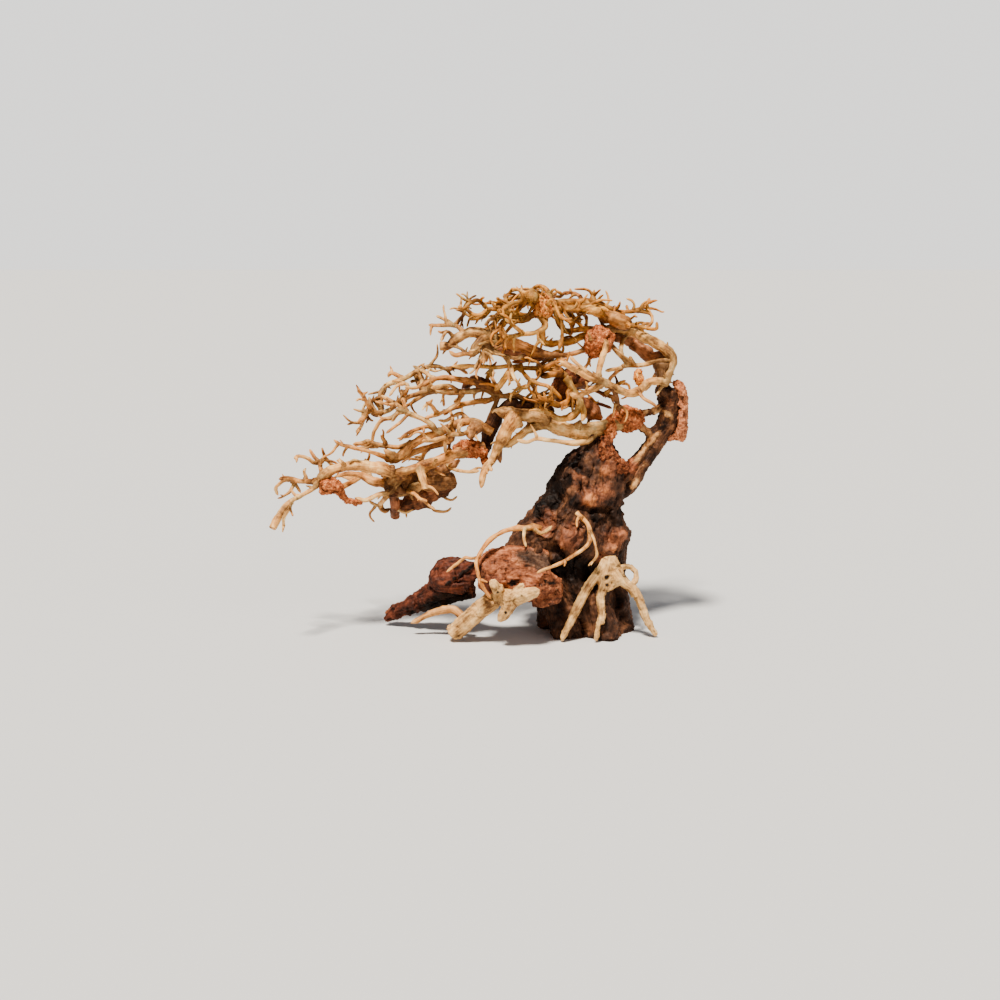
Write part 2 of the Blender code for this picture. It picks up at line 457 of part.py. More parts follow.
# Chunks by columns: top and bottom edge in rows, front and back depth in millimetres
BASE_SLAB = [
    (479, 562, 586, -44, -26),
    (484, 555, 589, -46, -23),
    (490, 551, 594, -48, -20),
    (505, 547, 598, -48, -17),
    (524, 547, 602, -48, -15),
    (540, 549, 604, -49, -15),
    (548, 552, 603, -48, -16),
    (551, 565, 602, -47, -17),
    (557, 571, 600, -46, -19),
    (562, 574, 597, -44, -22),
]
LEFT_BLOCK = [
    (429, 571, 585, -20, -8),
    (437, 562, 589, -24, -4),
    (450, 559, 591, -26, 0),
    (464, 557, 592, -27, 0),
    (476, 558, 591, -29, -3),
    (486, 562, 587, -30, -8),
    (493, 568, 580, -28, -12),
]


def read_route(text):
    """The columns and rows of a route written as text."""
    return np.array([[float(number) for number in point.split(",")] for point in text.split()])


def place(columns, rows, depths):
    """Where points of the picture lie in space, given their depths in metres."""
    across = (np.asarray(columns) - MIDDLE) / FOCAL
    up = (MIDDLE - np.asarray(rows)) / FOCAL
    forward = math.cos(EYE_TILT) + up * math.sin(EYE_TILT)
    reach = (EYE_DISTANCE + np.asarray(depths)) / forward
    height = EYE_HEIGHT + reach * (up * math.cos(EYE_TILT) - math.sin(EYE_TILT))
    return np.stack([EYE_SIDE + reach * across, depths + 0.0 * across, height], axis=-1)


def arc_lengths(points):
    """How far along a run of points each of them lies."""
    steps = np.linalg.norm(np.diff(points, axis=0), axis=1)
    return np.concatenate([[0.0], np.cumsum(steps)])


def unit(direction):
    """A direction, one long."""
    return direction / np.linalg.norm(direction)


def smooth(points, step):
    """A smooth curve through the points, read at even steps."""
    before = 2 * points[0] - points[1]
    after = 2 * points[-1] - points[-2]
    ends = np.vstack([before, points, after])
    pieces = []
    for a, b, c, d in zip(ends, ends[1:], ends[2:], ends[3:]):
        for t in np.linspace(0, 1, 12, endpoint=False):
            pieces.append(0.5 * (2 * b + (c - a) * t + (2 * a - 5 * b + 4 * c - d) * t**2
                                 + (3 * b - a - 3 * c + d) * t**3))
    curve = np.array([*pieces, points[-1]])
    along = arc_lengths(curve)
    even = np.linspace(0, along[-1], max(3, round(along[-1] / step) + 1))
    return np.stack([np.interp(even, along, curve[:, k]) for k in range(curve.shape[1])], axis=1)


class Limb:
    """A stick read along its route, root first: flat in columns and rows, depth and radius in metres."""

    def __init__(self, bough, stick, route, earlier, root_depth):
        self.bough, self.stick = bough, stick
        self.parent, self.joint = nearest(earlier, route[0])
        if self.parent:
            root = self.parent.flat[self.joint]
            if np.linalg.norm(root - route[0]) > 1:
                route = np.vstack([root, route])
            root_depth = self.parent.depth[self.joint]
        self.flat = smooth(route, READ_STEP)
        even = np.linspace(0, 1, len(self.flat))
        depths = np.array([root_depth, *(MM * depth for depth in stick.depth)])
        self.depth = np.interp(even, np.linspace(0, 1, len(depths)), depths)
        self.radius = np.interp(even, np.linspace(0, 1, len(stick.thick)), stick.thick) * PIXEL / 2
        self.from_root = arc_lengths(self.flat) * PIXEL

    def places(self):
        return place(self.flat[:, 0], self.flat[:, 1], self.depth)


def nearest(limbs, point):
    """The limb that passes nearest to a point of the picture, and where on it."""
    best, found, joint = math.inf, None, 0
    for limb in limbs:
        distances = np.linalg.norm(limb.flat - point, axis=1)
        if distances.min() < best:
            best, found, joint = distances.min(), limb, int(distances.argmin())
    return found, joint


def back_twig(bough, limbs, draw):
    """A short twig that leaves one of the bough's thicker sticks, mostly towards the back."""
    stout = [limb for limb in limbs if limb.radius.mean() > STOUT and len(limb.flat) > 8]
    limb = draw.choice(stout)
    start = draw.randint(len(limb.flat) // 4, len(limb.flat) - 3)
    heading = limb.flat[start + 1] - limb.flat[start]
    lean = math.radians(draw.choice((-1, 1)) * draw.uniform(*TWIG_LEAN))
    angle = math.atan2(heading[1], heading[0]) + lean
    points = [limb.flat[start]]
    for _ in range(3):
        reach = draw.uniform(*TWIG_JOINT)
        point = points[-1] + reach * np.array([math.cos(angle), math.sin(angle)])
        points.append(np.maximum(point, (0, CROWN_ROW)))
        angle += draw.uniform(-0.5, 0.5)
    depth = limb.depth[start] / MM
    away = draw.choice((1, 1, -1)) * draw.uniform(*TWIG_AWAY)
    stick = Stick("", TWIG_THICK, (depth + 0.45 * away, depth + away))
    return Limb(bough, stick, np.array(points), [limb], 0)


def grow(boughs):
    """Every bough's limbs, in their order, each rooted on the nearest one before it."""
    grown = {}
    for name, bough in boughs.items():
        limbs = []
        for stick in bough.sticks.values():
            limbs.append(Limb(name, stick, read_route(stick.route), limbs, bough.root * MM))
        draw = random.Random(name)
        twigs = [back_twig(name, limbs, draw) for _ in range(bough.twigs)]
        grown[name] = limbs + twigs
    return grown


def crossing_pairs(limbs):
    """Readings of different limbs that pass each other in the picture, and the distance that they need."""
    flat = np.concatenate([limb.flat for limb in limbs]) * PIXEL
    radius = np.concatenate([limb.radius for limb in limbs])
    owner = np.concatenate([np.full(len(limb.flat), k) for k, limb in enumerate(limbs)])
    from_root = np.concatenate([limb.from_root for limb in limbs])
    names = sorted({limb.bough for limb in limbs})
    bough = np.array([names.index(limb.bough) for limb in limbs])[owner]
    first, second, need, apart = [], [], [], []
    for i in range(len(flat)):
        distance = np.linalg.norm(flat[i + 1:] - flat[i], axis=1)
        wanted = radius[i + 1:] + radius[i] + CLEAR
        kin = bough[i + 1:] == bough[i]
        free = np.clip(np.minimum(from_root[i + 1:], from_root[i]) / ROOT_FREE, 0, 1)
        wanted = np.where(kin, wanted * free, wanted)
        close = np.flatnonzero((distance < wanted) & (owner[i + 1:] != owner[i]))
        first.extend([i] * len(close))
        second.extend(close + i + 1)
        need.extend(wanted[close])
        apart.extend(distance[close])
    depth_need = np.sqrt(np.square(need) - np.square(apart))
    return np.array(first), np.array(second), depth_need, radius


def spread_along(values):
    """Values along a limb, softened so that a bend has no kink."""
    reach = np.arange(-8, 9)
    weights = np.exp(-0.5 * (reach / SOFTEN) ** 2)
    padded = np.pad(values, 8, mode="edge")
    return np.convolve(padded, weights / weights.sum(), mode="valid")


def bend_clear(limbs, fixed):
    """Bends limbs in depth until those that cross in the picture pass in front of or behind each other."""
    first, second, need, radius = crossing_pairs(limbs)
    starts = np.cumsum([0] + [len(limb.flat) for limb in limbs])
    depth = np.concatenate([limb.depth for limb in limbs])
    share = radius[second] ** 2 / (radius[first] ** 2 + radius[second] ** 2)
    for _ in range(BEND_ROUNDS):
        behind = depth[second] - depth[first]
        short = need - np.abs(behind)
        side = np.where(behind >= 0, 1.0, -1.0)
        push = np.where(short > 0, short * side, 0.0)
        total = np.zeros(len(depth))
        count = np.zeros(len(depth))
        np.add.at(total, first, -push * share)
        np.add.at(total, second, push * (1 - share))
        np.add.at(count, first, short > 0)
        np.add.at(count, second, short > 0)
        total /= np.maximum(count, 1)
        moved = {}
        for limb, start, stop in zip(limbs, starts, starts[1:]):
            own = spread_along(total[start:stop])
            if limb.bough in fixed:
                own = own * 0
            if limb.parent:
                own = own * np.clip(limb.from_root / ROOT_FREE, 0, 1) + moved[limb.parent][limb.joint]
            moved[limb] = own
            depth[start:stop] += own
    for limb, start, stop in zip(limbs, starts, starts[1:]):
        limb.depth = depth[start:stop]


def solid_object(name, rings, tips):
    """A closed object through rings of points, each end closed round its tip or, without one, flat."""
    mesh = bmesh.new()
    loops = [[mesh.verts.new(point) for point in ring] for ring in rings]
    for lower, upper in zip(loops, loops[1:]):
        for k, corner in enumerate(lower):
            after = (k + 1) % len(lower)
            mesh.faces.new((corner, lower[after], upper[after], upper[k]))
    for loop, tip in zip((loops[0], loops[-1]), tips):
        if tip is None:
            mesh.faces.new(loop)
            continue
        peak = mesh.verts.new(tip)
        for k, corner in enumerate(loop):
            mesh.faces.new((corner, loop[(k + 1) % len(loop)], peak))
    bmesh.ops.triangulate(mesh, faces=mesh.faces[:])
    bmesh.ops.recalc_face_normals(mesh, faces=mesh.faces[:])
    data = bpy.data.meshes.new(name)
    mesh.to_mesh(data)
    mesh.free()
    solid = bpy.data.objects.new(name, data)
    bpy.context.scene.collection.objects.link(solid)
    return solid


def needed_rings(readings, first, last):
    """The readings between first and last that a tube needs to follow its limb, both ends among them."""
    apart = max(1, math.ceil(readings[first, 3] / (READ_STEP * PIXEL)))
    if last - first < 2 * apart:
        return [first, last]
    run = readings[last] - readings[first]
    share = np.clip((readings[first:last + 1] - readings[first]) @ run / (run @ run), 0, 1)
    astray = np.linalg.norm(readings[first:last + 1] - readings[first] - share[:, None] * run, axis=1)
    if astray.max() < RING_SLACK:
        return [first, last]
    middle = min(max(first + int(astray.argmax()), first + apart), last - apart)
    return needed_rings(readings, first, middle)[:-1] + needed_rings(readings, middle, last)


def tube(limb, rough=0.0, swell=0.0):
    """A limb's tapering tube. Swell thickens it all round, for the hollow it leaves in its neighbour."""
    every = np.column_stack([limb.places(), limb.radius])
    kept = needed_rings(every, 0, len(every) - 1)
    centres, radii = every[kept, :3], every[kept, 3]
    count = len(kept)
    sides = next(sides for limit, sides in SIDES if radii.mean() < limit)
    grain = BUMP_WIDTH * max(radii.mean(), 3 * MM)
    rings = []
    across = np.cross(centres[1] - centres[0], (0, 1, 0))
    for k, (centre, radius) in enumerate(zip(centres, radii)):
        heading = unit(centres[min(k + 1, count - 1)] - centres[max(k - 1, 0)])
        side = across = unit(across - heading * across.dot(heading))
        deep = np.cross(side, heading) * limb.stick.deep
        ring = []
        for turn in np.linspace(0, 2 * math.pi, sides, endpoint=False):
            outward = math.cos(turn) * side + math.sin(turn) * deep
            bump = rough * noise.noise(Vector(centre + radius * outward) / grain)
            ring.append(centre + outward * (radius * (1 + 2 * bump) + swell))
        rings.append(np.array(ring))
    start_tip = centres[0] + unit(centres[0] - centres[1]) * swell
    last = unit(centres[-1] - centres[-2])
    if limb.stick.sawn:
        rings[-1] += last * swell
        end_tip = None
    else:
        rings[-1] = centres[-1] + (rings[-1] - centres[-1]) * TIP_TAPER
        end_tip = centres[-1] + last * (TIP_REACH * radii[-1] + 2 * swell)
    for ring in rings:
        ring[:, 2] = np.maximum(ring[:, 2], 0.0)
    return solid_object(limb.bough, rings, (start_tip, end_tip))


def stump_relief(turn, height, column, row):
    """How far the stump's side stands out, in metres: flutes that wind up it, root ridges and burls."""
    winding = sum(rise * math.sin(count * turn + wind * height) for rise, count, wind in FLUTES)
    ridges = RIDGE_RISE * max(0.0, 1 - height / RIDGE_HEIGHT) * math.cos(6 * turn + 0.8)
    burls = 0.0
    for burl_column, burl_row, width, rise in BURLS:
        distance = math.hypot(column - burl_column, row - burl_row) / width
        burls += rise * MM * math.exp(-distance ** 2) * (math.sin(turn) < 0.2)
    return winding * min(1.0, (EYE_HEIGHT - height) / CALM_TOP) + ridges + burls


def trunk_solid(swell=0.0):
    """The stump: rings of a fluted oval from the neck down to the sawn foot."""
    rings = []
    for row, left, right, front, back in TRUNK:
        foot = row == TRUNK[-1][0]
        edges = place(np.array([left, right]), np.array([row, row]), np.array([0.0, 0.0]))
        height = 0.0 if foot else edges[0, 2]
        middle = edges.mean(axis=0)
        half_wide = (edges[1, 0] - edges[0, 0]) / 2
        half_deep = (back - front) / 2 * MM
        ring = []
        for turn in np.linspace(0, 2 * math.pi, TRUNK_SIDES, endpoint=False):
            column = (left + right) / 2 + math.cos(turn) * (right - left) / 2
            relief = stump_relief(turn, height, column, row)
            across = half_wide + relief * (0.4 + 0.6 * abs(math.sin(turn))) + swell
            deep = half_deep + relief + swell
            ring.append((middle[0] + math.cos(turn) * across,
                         (front + back) / 2 * MM + math.sin(turn) * deep,
                         height - (swell if foot else 0.0)))
        rings.append(np.array(ring))
    top = rings[0].mean(axis=0) + np.array([0, 0, 2 * MM + swell])
    return solid_object("trunk", rings, (top, None))


def chunk(name, sections, swell=0.0):
    """A broken chunk of wood: boxy rings across it, column by column."""
    rings = []
    for column, top, bottom, front, back in sections:
        middle_depth = (front + back) / 2 * MM
        high, low = place(np.array([column, column]), np.array([top, bottom]), np.full(2, middle_depth))
        centre = (high + low) / 2
        half_high, half_deep = (high[2] - low[2]) / 2, (back - front) / 2 * MM
        ring = []
        for turn in CHUNK_CORNER + np.linspace(0, 2 * math.pi, CHUNK_SIDES, endpoint=False):
            square = (abs(math.cos(turn)) ** SQUARE + abs(math.sin(turn)) ** SQUARE) ** (-1 / SQUARE)
            bump = 1 + 0.3 * noise.noise(Vector((column * 0.09, 2 * math.cos(turn), 2 * math.sin(turn))))
            ring.append((centre[0],
                         centre[1] + math.cos(turn) * (square * half_deep * bump + swell),
                         centre[2] + math.sin(turn) * (square * half_high * bump + swell)))
        rings.append(np.array(ring))
    outward = np.array([0.8 * MM + swell, 0, 0])
    return solid_object(name, rings, (rings[0].mean(axis=0) - outward, rings[-1].mean(axis=0) + outward))


SOLIDS = {
    "trunk": trunk_solid,
    "base_slab": lambda swell=0.0: chunk("base_slab", BASE_SLAB, swell),
    "left_block": lambda swell=0.0: chunk("left_block", LEFT_BLOCK, swell),
}


def material(wood):
    """The plain finish of one kind of wood."""
    if wood in bpy.data.materials:
        return bpy.data.materials[wood]
    colour, roughness = WOODS[wood]
    finish = bpy.data.materials.new(wood)
    finish.use_nodes = True
    shader = finish.node_tree.nodes["Principled BSDF"]
    shader.inputs["Base Color"].default_value = (*colour, 1)
    shader.inputs["Roughness"].default_value = roughness
    shader.inputs["Metallic"].default_value = 0
    return finish


def boolean(body, others, operation):
    """Joins the other objects to the body, or takes them out of it, and removes them."""
    group = bpy.data.collections.new(operation)
    for other in others:
        group.objects.link(other)
    step = body.modifiers.new(operation, "BOOLEAN")
    step.operation = operation
    step.operand_type = "COLLECTION"
    step.collection = group
    step.solver = SOLVER
    result = bpy.data.meshes.new_from_object(body.evaluated_get(bpy.context.evaluated_depsgraph_get()))
    body.modifiers.clear()
    body.data = result
    for other in others:
        bpy.data.objects.remove(other)
    bpy.data.collections.remove(group)


def keep_largest(body):
    """Merges flat faces, and drops the scraps that a cut leaves and the walls of any sealed hollow."""
    mesh = bmesh.new()
    mesh.from_mesh(body.data)
    bmesh.ops.dissolve_limit(mesh, angle_limit=FLAT_ENOUGH, verts=mesh.verts[:], edges=mesh.edges[:])
    bmesh.ops.triangulate(mesh, faces=mesh.faces[:])
    islands, seen = [], set()
    for face in mesh.faces:
        if face in seen:
            continue
        island, waiting = [], [face]
        seen.add(face)
        while waiting:
            current = waiting.pop()
            island.append(current)
            for edge in current.edges:
                fresh = [other for other in edge.link_faces if other not in seen]
                seen.update(fresh)
                waiting.extend(fresh)
        islands.append(island)
    islands.sort(key=island_volume)
    scraps = [face for island in islands[:-1] for face in island]
    bmesh.ops.delete(mesh, geom=scraps, context="FACES")
    mesh.to_mesh(body.data)
    mesh.free()


def island_volume(faces):
    """Six times the volume inside a closed island of triangles."""
    return sum(a.co.dot(b.co.cross(c.co)) for a, b, c in (face.verts for face in faces))


def finish_node(name, shapes, cutters, wood):
    """Joins a node's shapes, hollows them round their neighbours and gives them their wood."""
    body = shapes[0]
    if len(shapes) > 1:
        boolean(body, shapes[1:], "UNION")
    if cutters:
        boolean(body, cutters, "DIFFERENCE")
    keep_largest(body)
    body.name = body.data.name = name
    body.data.materials.clear()
    body.data.materials.append(material(wood))
    body.data.shade_smooth()
    body.data.set_sharp_from_angle(angle=SHARP)


def near(limb, others):
    """The limbs that come so near this one that their bumps could meet."""
    found = []
    for other in others:
        distances = np.linalg.norm(limb.places()[:, None] - other.places()[None], axis=2)
        wide = limb.radius[:, None] * limb.stick.deep + other.radius[None] * other.stick.deep
        if (distances < 1.4 * wide + 2 * STICK_GAP).any():
            found.append(other)
    return found


def make_boughs(boughs, grown, built):
    """Each bough's node, hollowed round the limbs that were built before it."""
    for name, bough in boughs.items():
        limbs = grown[name]
        touched = []
        for limb in limbs:
            touched += [other for other in near(limb, built) if other not in touched]
        cutters = [tube(other, swell=STICK_GAP + roughness(other)) for other in touched]
        cutters += [SOLIDS[seat](swell=GAP) for seat in bough.seats]
        finish_node(name, [tube(limb, bough.rough) for limb in limbs], cutters, bough.wood)
        built.extend(limbs)


def roughness(limb):
    """How far a limb's bumps may stand out of its plain tube."""
    boughs = {**BOUGHS, **FILLINGS, **ROOTS}
    if limb.bough not in boughs:
        return 0.0
    return 1.2 * boughs[limb.bough].rough * limb.radius.max()


def main():
    for leftover in list(bpy.data.objects):
        bpy.data.objects.remove(leftover)
    canopy = grow(BOUGHS)
    bend_clear([limb for limbs in canopy.values() for limb in limbs], ("elbow_limb", "bark_plate"))
    stub = Limb("trunk", TRUNK_STUB["stub"], read_route(TRUNK_STUB["stub"].route), [], STUB_ROOT * MM)
    finish_node("trunk", [trunk_solid(), tube(stub)], [], "dark")
    finish_node("base_slab", [chunk("base_slab", BASE_SLAB)],
                [trunk_solid(swell=GAP), tube(stub, swell=GAP)], "red")
    finish_node("left_block", [chunk("left_block", LEFT_BLOCK)],
                [trunk_solid(swell=GAP), chunk("base_slab", BASE_SLAB, GAP)], "red")
    make_boughs(ROOTS, grow(ROOTS), [stub])
    crown = []
    make_boughs(BOUGHS, canopy, crown)
    make_boughs(FILLINGS, grow(FILLINGS), crown)


main()
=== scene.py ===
# %% [markdown]
# # A windswept tree of root wood
# This piece is put together by hand from weathered wood. A dark, leaning stump is the trunk of a little tree.
# Pale, branchy roots are glued to it in tiers, and the glue is thickened with red-brown sawdust. Every stick
# keeps the bends and spurs that it grew with, so nothing here is straight, and no two sticks are alike.
#
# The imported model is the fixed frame. Each piece below is built round the solid that it stands for.

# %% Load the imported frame
import json
import math
import random
from collections import namedtuple

import bmesh
import bpy
import numpy as np
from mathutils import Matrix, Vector

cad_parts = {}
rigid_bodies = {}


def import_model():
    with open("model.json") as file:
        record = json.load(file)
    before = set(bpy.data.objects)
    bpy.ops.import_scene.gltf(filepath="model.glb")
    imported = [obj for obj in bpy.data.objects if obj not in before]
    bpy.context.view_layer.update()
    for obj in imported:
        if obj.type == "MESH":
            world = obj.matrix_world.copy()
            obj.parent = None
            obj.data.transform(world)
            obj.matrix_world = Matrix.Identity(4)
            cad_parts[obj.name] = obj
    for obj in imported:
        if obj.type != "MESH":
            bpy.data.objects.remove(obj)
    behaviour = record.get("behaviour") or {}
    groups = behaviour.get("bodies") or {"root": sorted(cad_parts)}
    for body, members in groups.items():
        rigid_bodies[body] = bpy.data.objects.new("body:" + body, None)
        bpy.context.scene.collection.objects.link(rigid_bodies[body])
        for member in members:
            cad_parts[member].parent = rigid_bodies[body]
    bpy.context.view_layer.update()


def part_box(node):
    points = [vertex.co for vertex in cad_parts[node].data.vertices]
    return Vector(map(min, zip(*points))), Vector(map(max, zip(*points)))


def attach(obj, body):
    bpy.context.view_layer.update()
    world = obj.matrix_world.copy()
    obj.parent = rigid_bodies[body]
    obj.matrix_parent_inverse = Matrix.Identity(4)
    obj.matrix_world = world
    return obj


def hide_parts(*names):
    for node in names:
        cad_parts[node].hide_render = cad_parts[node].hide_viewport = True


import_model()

MM = 0.001

# %% [markdown]
# ## The eye
# A photograph is a picture through one lens. Once the lens, its tilt and its distance are known, each point of
# the picture is a line into the room, and a depth picks one place on that line. The same eye serves twice here:
# as the camera, and as the ruler that turns routes traced in the picture into places in space.

# %% Set up the eye and the camera
SPREAD = 0.268  # width of the whole piece
SPREAD_PIXELS = 688 - 273
FOCAL = 1395.0  # pixels
MIDDLE = 500.0  # column and row of the picture's centre
EYE_TILT = math.radians(9.6)  # looking down
AXIS_COLUMN = 585.0  # the stump's axis at the ground
TOUCH_ROW = 641.0  # the lowest edge of the front root, which lies on the ground
TOUCH_DEPTH = -30.0 * MM
EYE_DISTANCE = SPREAD * FOCAL / SPREAD_PIXELS
EYE_HEIGHT = (EYE_DISTANCE + TOUCH_DEPTH) * math.tan(EYE_TILT + math.atan((TOUCH_ROW - MIDDLE) / FOCAL))
EYE_SIDE = -EYE_DISTANCE * (AXIS_COLUMN - MIDDLE) / FOCAL
PIXEL = SPREAD / SPREAD_PIXELS
SENSOR = 36.0  # millimetres, for a picture 1000 pixels wide


def place(columns, rows, depths):
    """Where points of the picture lie in space, given their depths in metres."""
    across = (np.asarray(columns) - MIDDLE) / FOCAL
    up = (MIDDLE - np.asarray(rows)) / FOCAL
    forward = math.cos(EYE_TILT) + up * math.sin(EYE_TILT)
    reach = (EYE_DISTANCE + np.asarray(depths)) / forward
    height = EYE_HEIGHT + reach * (up * math.cos(EYE_TILT) - math.sin(EYE_TILT))
    return np.stack([EYE_SIDE + reach * across, depths + 0.0 * across, height], axis=-1)


def seen_at(points):
    """The column and row of the picture where points in space are seen."""
    away = points[:, 1] + EYE_DISTANCE
    rise = points[:, 2] - EYE_HEIGHT
    forward = away * math.cos(EYE_TILT) - rise * math.sin(EYE_TILT)
    up = away * math.sin(EYE_TILT) + rise * math.cos(EYE_TILT)
    return np.stack([MIDDLE + FOCAL * (points[:, 0] - EYE_SIDE) / forward, MIDDLE - FOCAL * up / forward], axis=1)


lens = bpy.data.cameras.new("eye")
lens.sensor_width = SENSOR
lens.lens = SENSOR * FOCAL / (2 * MIDDLE)
lens.clip_start = 0.01
camera = bpy.data.objects.new("eye", lens)
camera.location = (EYE_SIDE, -EYE_DISTANCE, EYE_HEIGHT)
camera.rotation_euler = (math.radians(90) - EYE_TILT, 0, 0)
bpy.context.scene.collection.objects.link(camera)
bpy.context.scene.camera = camera
print(f"the lens is {lens.lens:.1f} mm and the eye {EYE_DISTANCE:.2f} m away")

# %% [markdown]
# ## The routes
# Each stick is a run of points of the picture, with its thickness along the way and its depth after the root.
# Driftwood branches cross each other everywhere, and a picture can't say which one is in front. So the sticks
# are first laid out flat, and then bent in depth until those that cross pass each other with a little air.
# That is how the maker of such a piece turns the sticks too, before any glue.

# %% How sticks and boughs are written down
READ_STEP = 3.0  # pixels between two readings of a route
SPLINE_READINGS = 12  # between two points of a route, before it is read at even steps
BEND_ROUNDS = 160
CLEAR = 0.8 * MM
ROOT_FREE = 9.0 * MM  # so close to its root a stick may touch its own bough
SOFTEN = 4.0  # readings over which a bend is spread
SOFTEN_REACH = 8
STOUT = 2 * PIXEL  # a stick this thick in radius can carry a back twig
LONG_ENOUGH = 8  # readings of such a stick
TWIG_THICK = (4.5, 4, 3)  # pixels, root to tip
TWIG_JOINTS = 3
TWIG_JOINT = (6, 11)  # pixels between a back twig's bends
TWIG_SWERVE = 0.5  # radians at each of them, either way
TWIG_LEAN = (20, 60)  # degrees off its stick
TWIG_AWAY = (16, 28)  # millimetres that it reaches in depth
TWIG_HALFWAY = 0.45  # the share of that reach at the twig's middle
CROWN_ROW = 294.0  # no back twig rises above this row

Stick = namedtuple("Stick", "route thick depth deep sawn", defaults=(1.0, False))


def read_sticks(text):
    """The sticks of a table: name, route | thicknesses in pixels | depths in millimetres | and two more.

    Thicknesses and depths are at even steps, the depths after the root. Then come how many times deeper than
    wide the stick is, and the word sawn if its end is sawn flat. An indented line goes on with the one before.
    """
    sticks = {}
    for line in text.strip().replace("\n    ", " ").splitlines():
        path, thick, depth, *more = line.split(" | ")
        name, route = path.split(" ", 1)
        thick, depth = (tuple(float(number) for number in part.split()) for part in (thick, depth))
        sticks[name] = Stick(route, thick, depth, float(more[0]) if more else 1.0, "sawn" in more)
    return sticks


# %% The elbow limb and the bough on top of it
ELBOW_LIMB = """
limb 598,494 612,486 627,477 638,465 648,452 656,440 664,429 670,416 670,403 666,391 | 30 34 30 20 17 16
    17 20 21 19 | 2 4 6 8 8 8
inner_arm 652,450 648,443 650,435 645,430 638,424 | 6 5 6 | 5 4
short_arm 665,426 657,428 650,432 645,430 | 7 6 | 5
upper_arm 668,404 660,406 657,410 650,412 636,414 | 8 6 7 | 4 3
knuckle 668,398 661,392 659,388 | 13 9 | 2
"""

BARK_PLATE = """
plate 677,382 680,390 681,400 681,412 681,424 680,433 679,440 | 9 12 13 14 14 14 13 | 9 9 9 9 | 2.1 | sawn
skirt 681,424 676,433 668,439 | 10 12 8 | 9 8 | 1.4 | sawn
"""

TOP_BOUGH = """
arch 664,385 668,376 671,368 673,360 668,352 660,346 650,340 640,335 630,331 620,328 612,329 602,333 | 7 7
    8 9 9 8 8 8 | 6 5 2 0
shadow_limb 667,354 652,358 645,352 638,347 630,340 620,337 610,338 | 8 14 13 9 | 17 20 10
level_twig 671,360 660,361 650,363 640,365 627,366 617,369 605,371 | 5 5 4 3.5 | 4 -3 -9
strut 661,362 661,370 661,378 664,387 | 5 4 5 | 5 5
swan 667,382 655,381 650,381 644,386 638,391 630,393 620,390 610,385 600,381 590,378 583,374 577,370
    570,366 560,361 | 6 7 7 7 6 5 | 2 -7 -14 -17 -20
slanting_stick 628,364 623,358 617,351 611,345 603,341 | 4 5 5 | -3 -2
tooth 634,366 630,356 | 4 3 | -10
post 598,380 600,365 603,355 606,346 603,338 | 6 6 7 | -12 -3
link 602,380 592,375 585,370 576,363 570,356 | 4 3 | -26 -24
sweep 604,383 593,389 585,393 577,396 568,392 | 6 5 6 | -16 -8
dark_drop 612,387 617,400 619,412 | 5 5 | -7 0
cross_tie 638,390 643,398 650,402 657,407 | 4 3 | -9 -14
"""

# %% The crown, wound round a lump of glue
CROWN_RIGHT = """
upper 546,306 560,303 570,303 590,302 600,304 607,307 616,310 | 7 8 8 7 5 | 6 12 20
lower 549,312 560,309 575,309 590,310 600,313 608,317 615,320 622,322 630,326 | 6 7 8 9 8 5 | -3 -10 -12
block 602,315 612,318 622,322 632,326 | 8 14 15 9 | -12 -12 -12
brace 556,313 558,322 566,331 580,329 590,329 602,331 | 5 6 6 6 | 2 2 0
upper_stub 593,302 593,296 594,290 | 5 4 | 16
far_twig 609,309 620,312 636,311 645,312 651,314 653,319 | 5 4 4 3 | 26 30
thorn 628,311 627,305 | 3 3 | 33
far_thorn 647,312 648,304 | 3 3 | 26
low_tip 626,324 638,327 644,332 | 5 3 | -20
hook 634,326 645,328 652,329 657,328 657,322 | 4 4 3 | -26 -34
post 560,311 562,325 562,338 559,350 | 4 3 4 | -2 -3
slant 561,316 570,322 577,322 583,327 | 4 3 | -14
fan 563,309 571,314 576,320 581,328 | 4 4 3 | 8 10
fan_rib 568,308 578,311 588,318 | 4 3 | 14
cross_stick 560,304 566,309 574,311 580,309 | 4 3 | -20
back_arm 585,302 578,295 566,293 558,298 | 4 3 | 26 34
"""

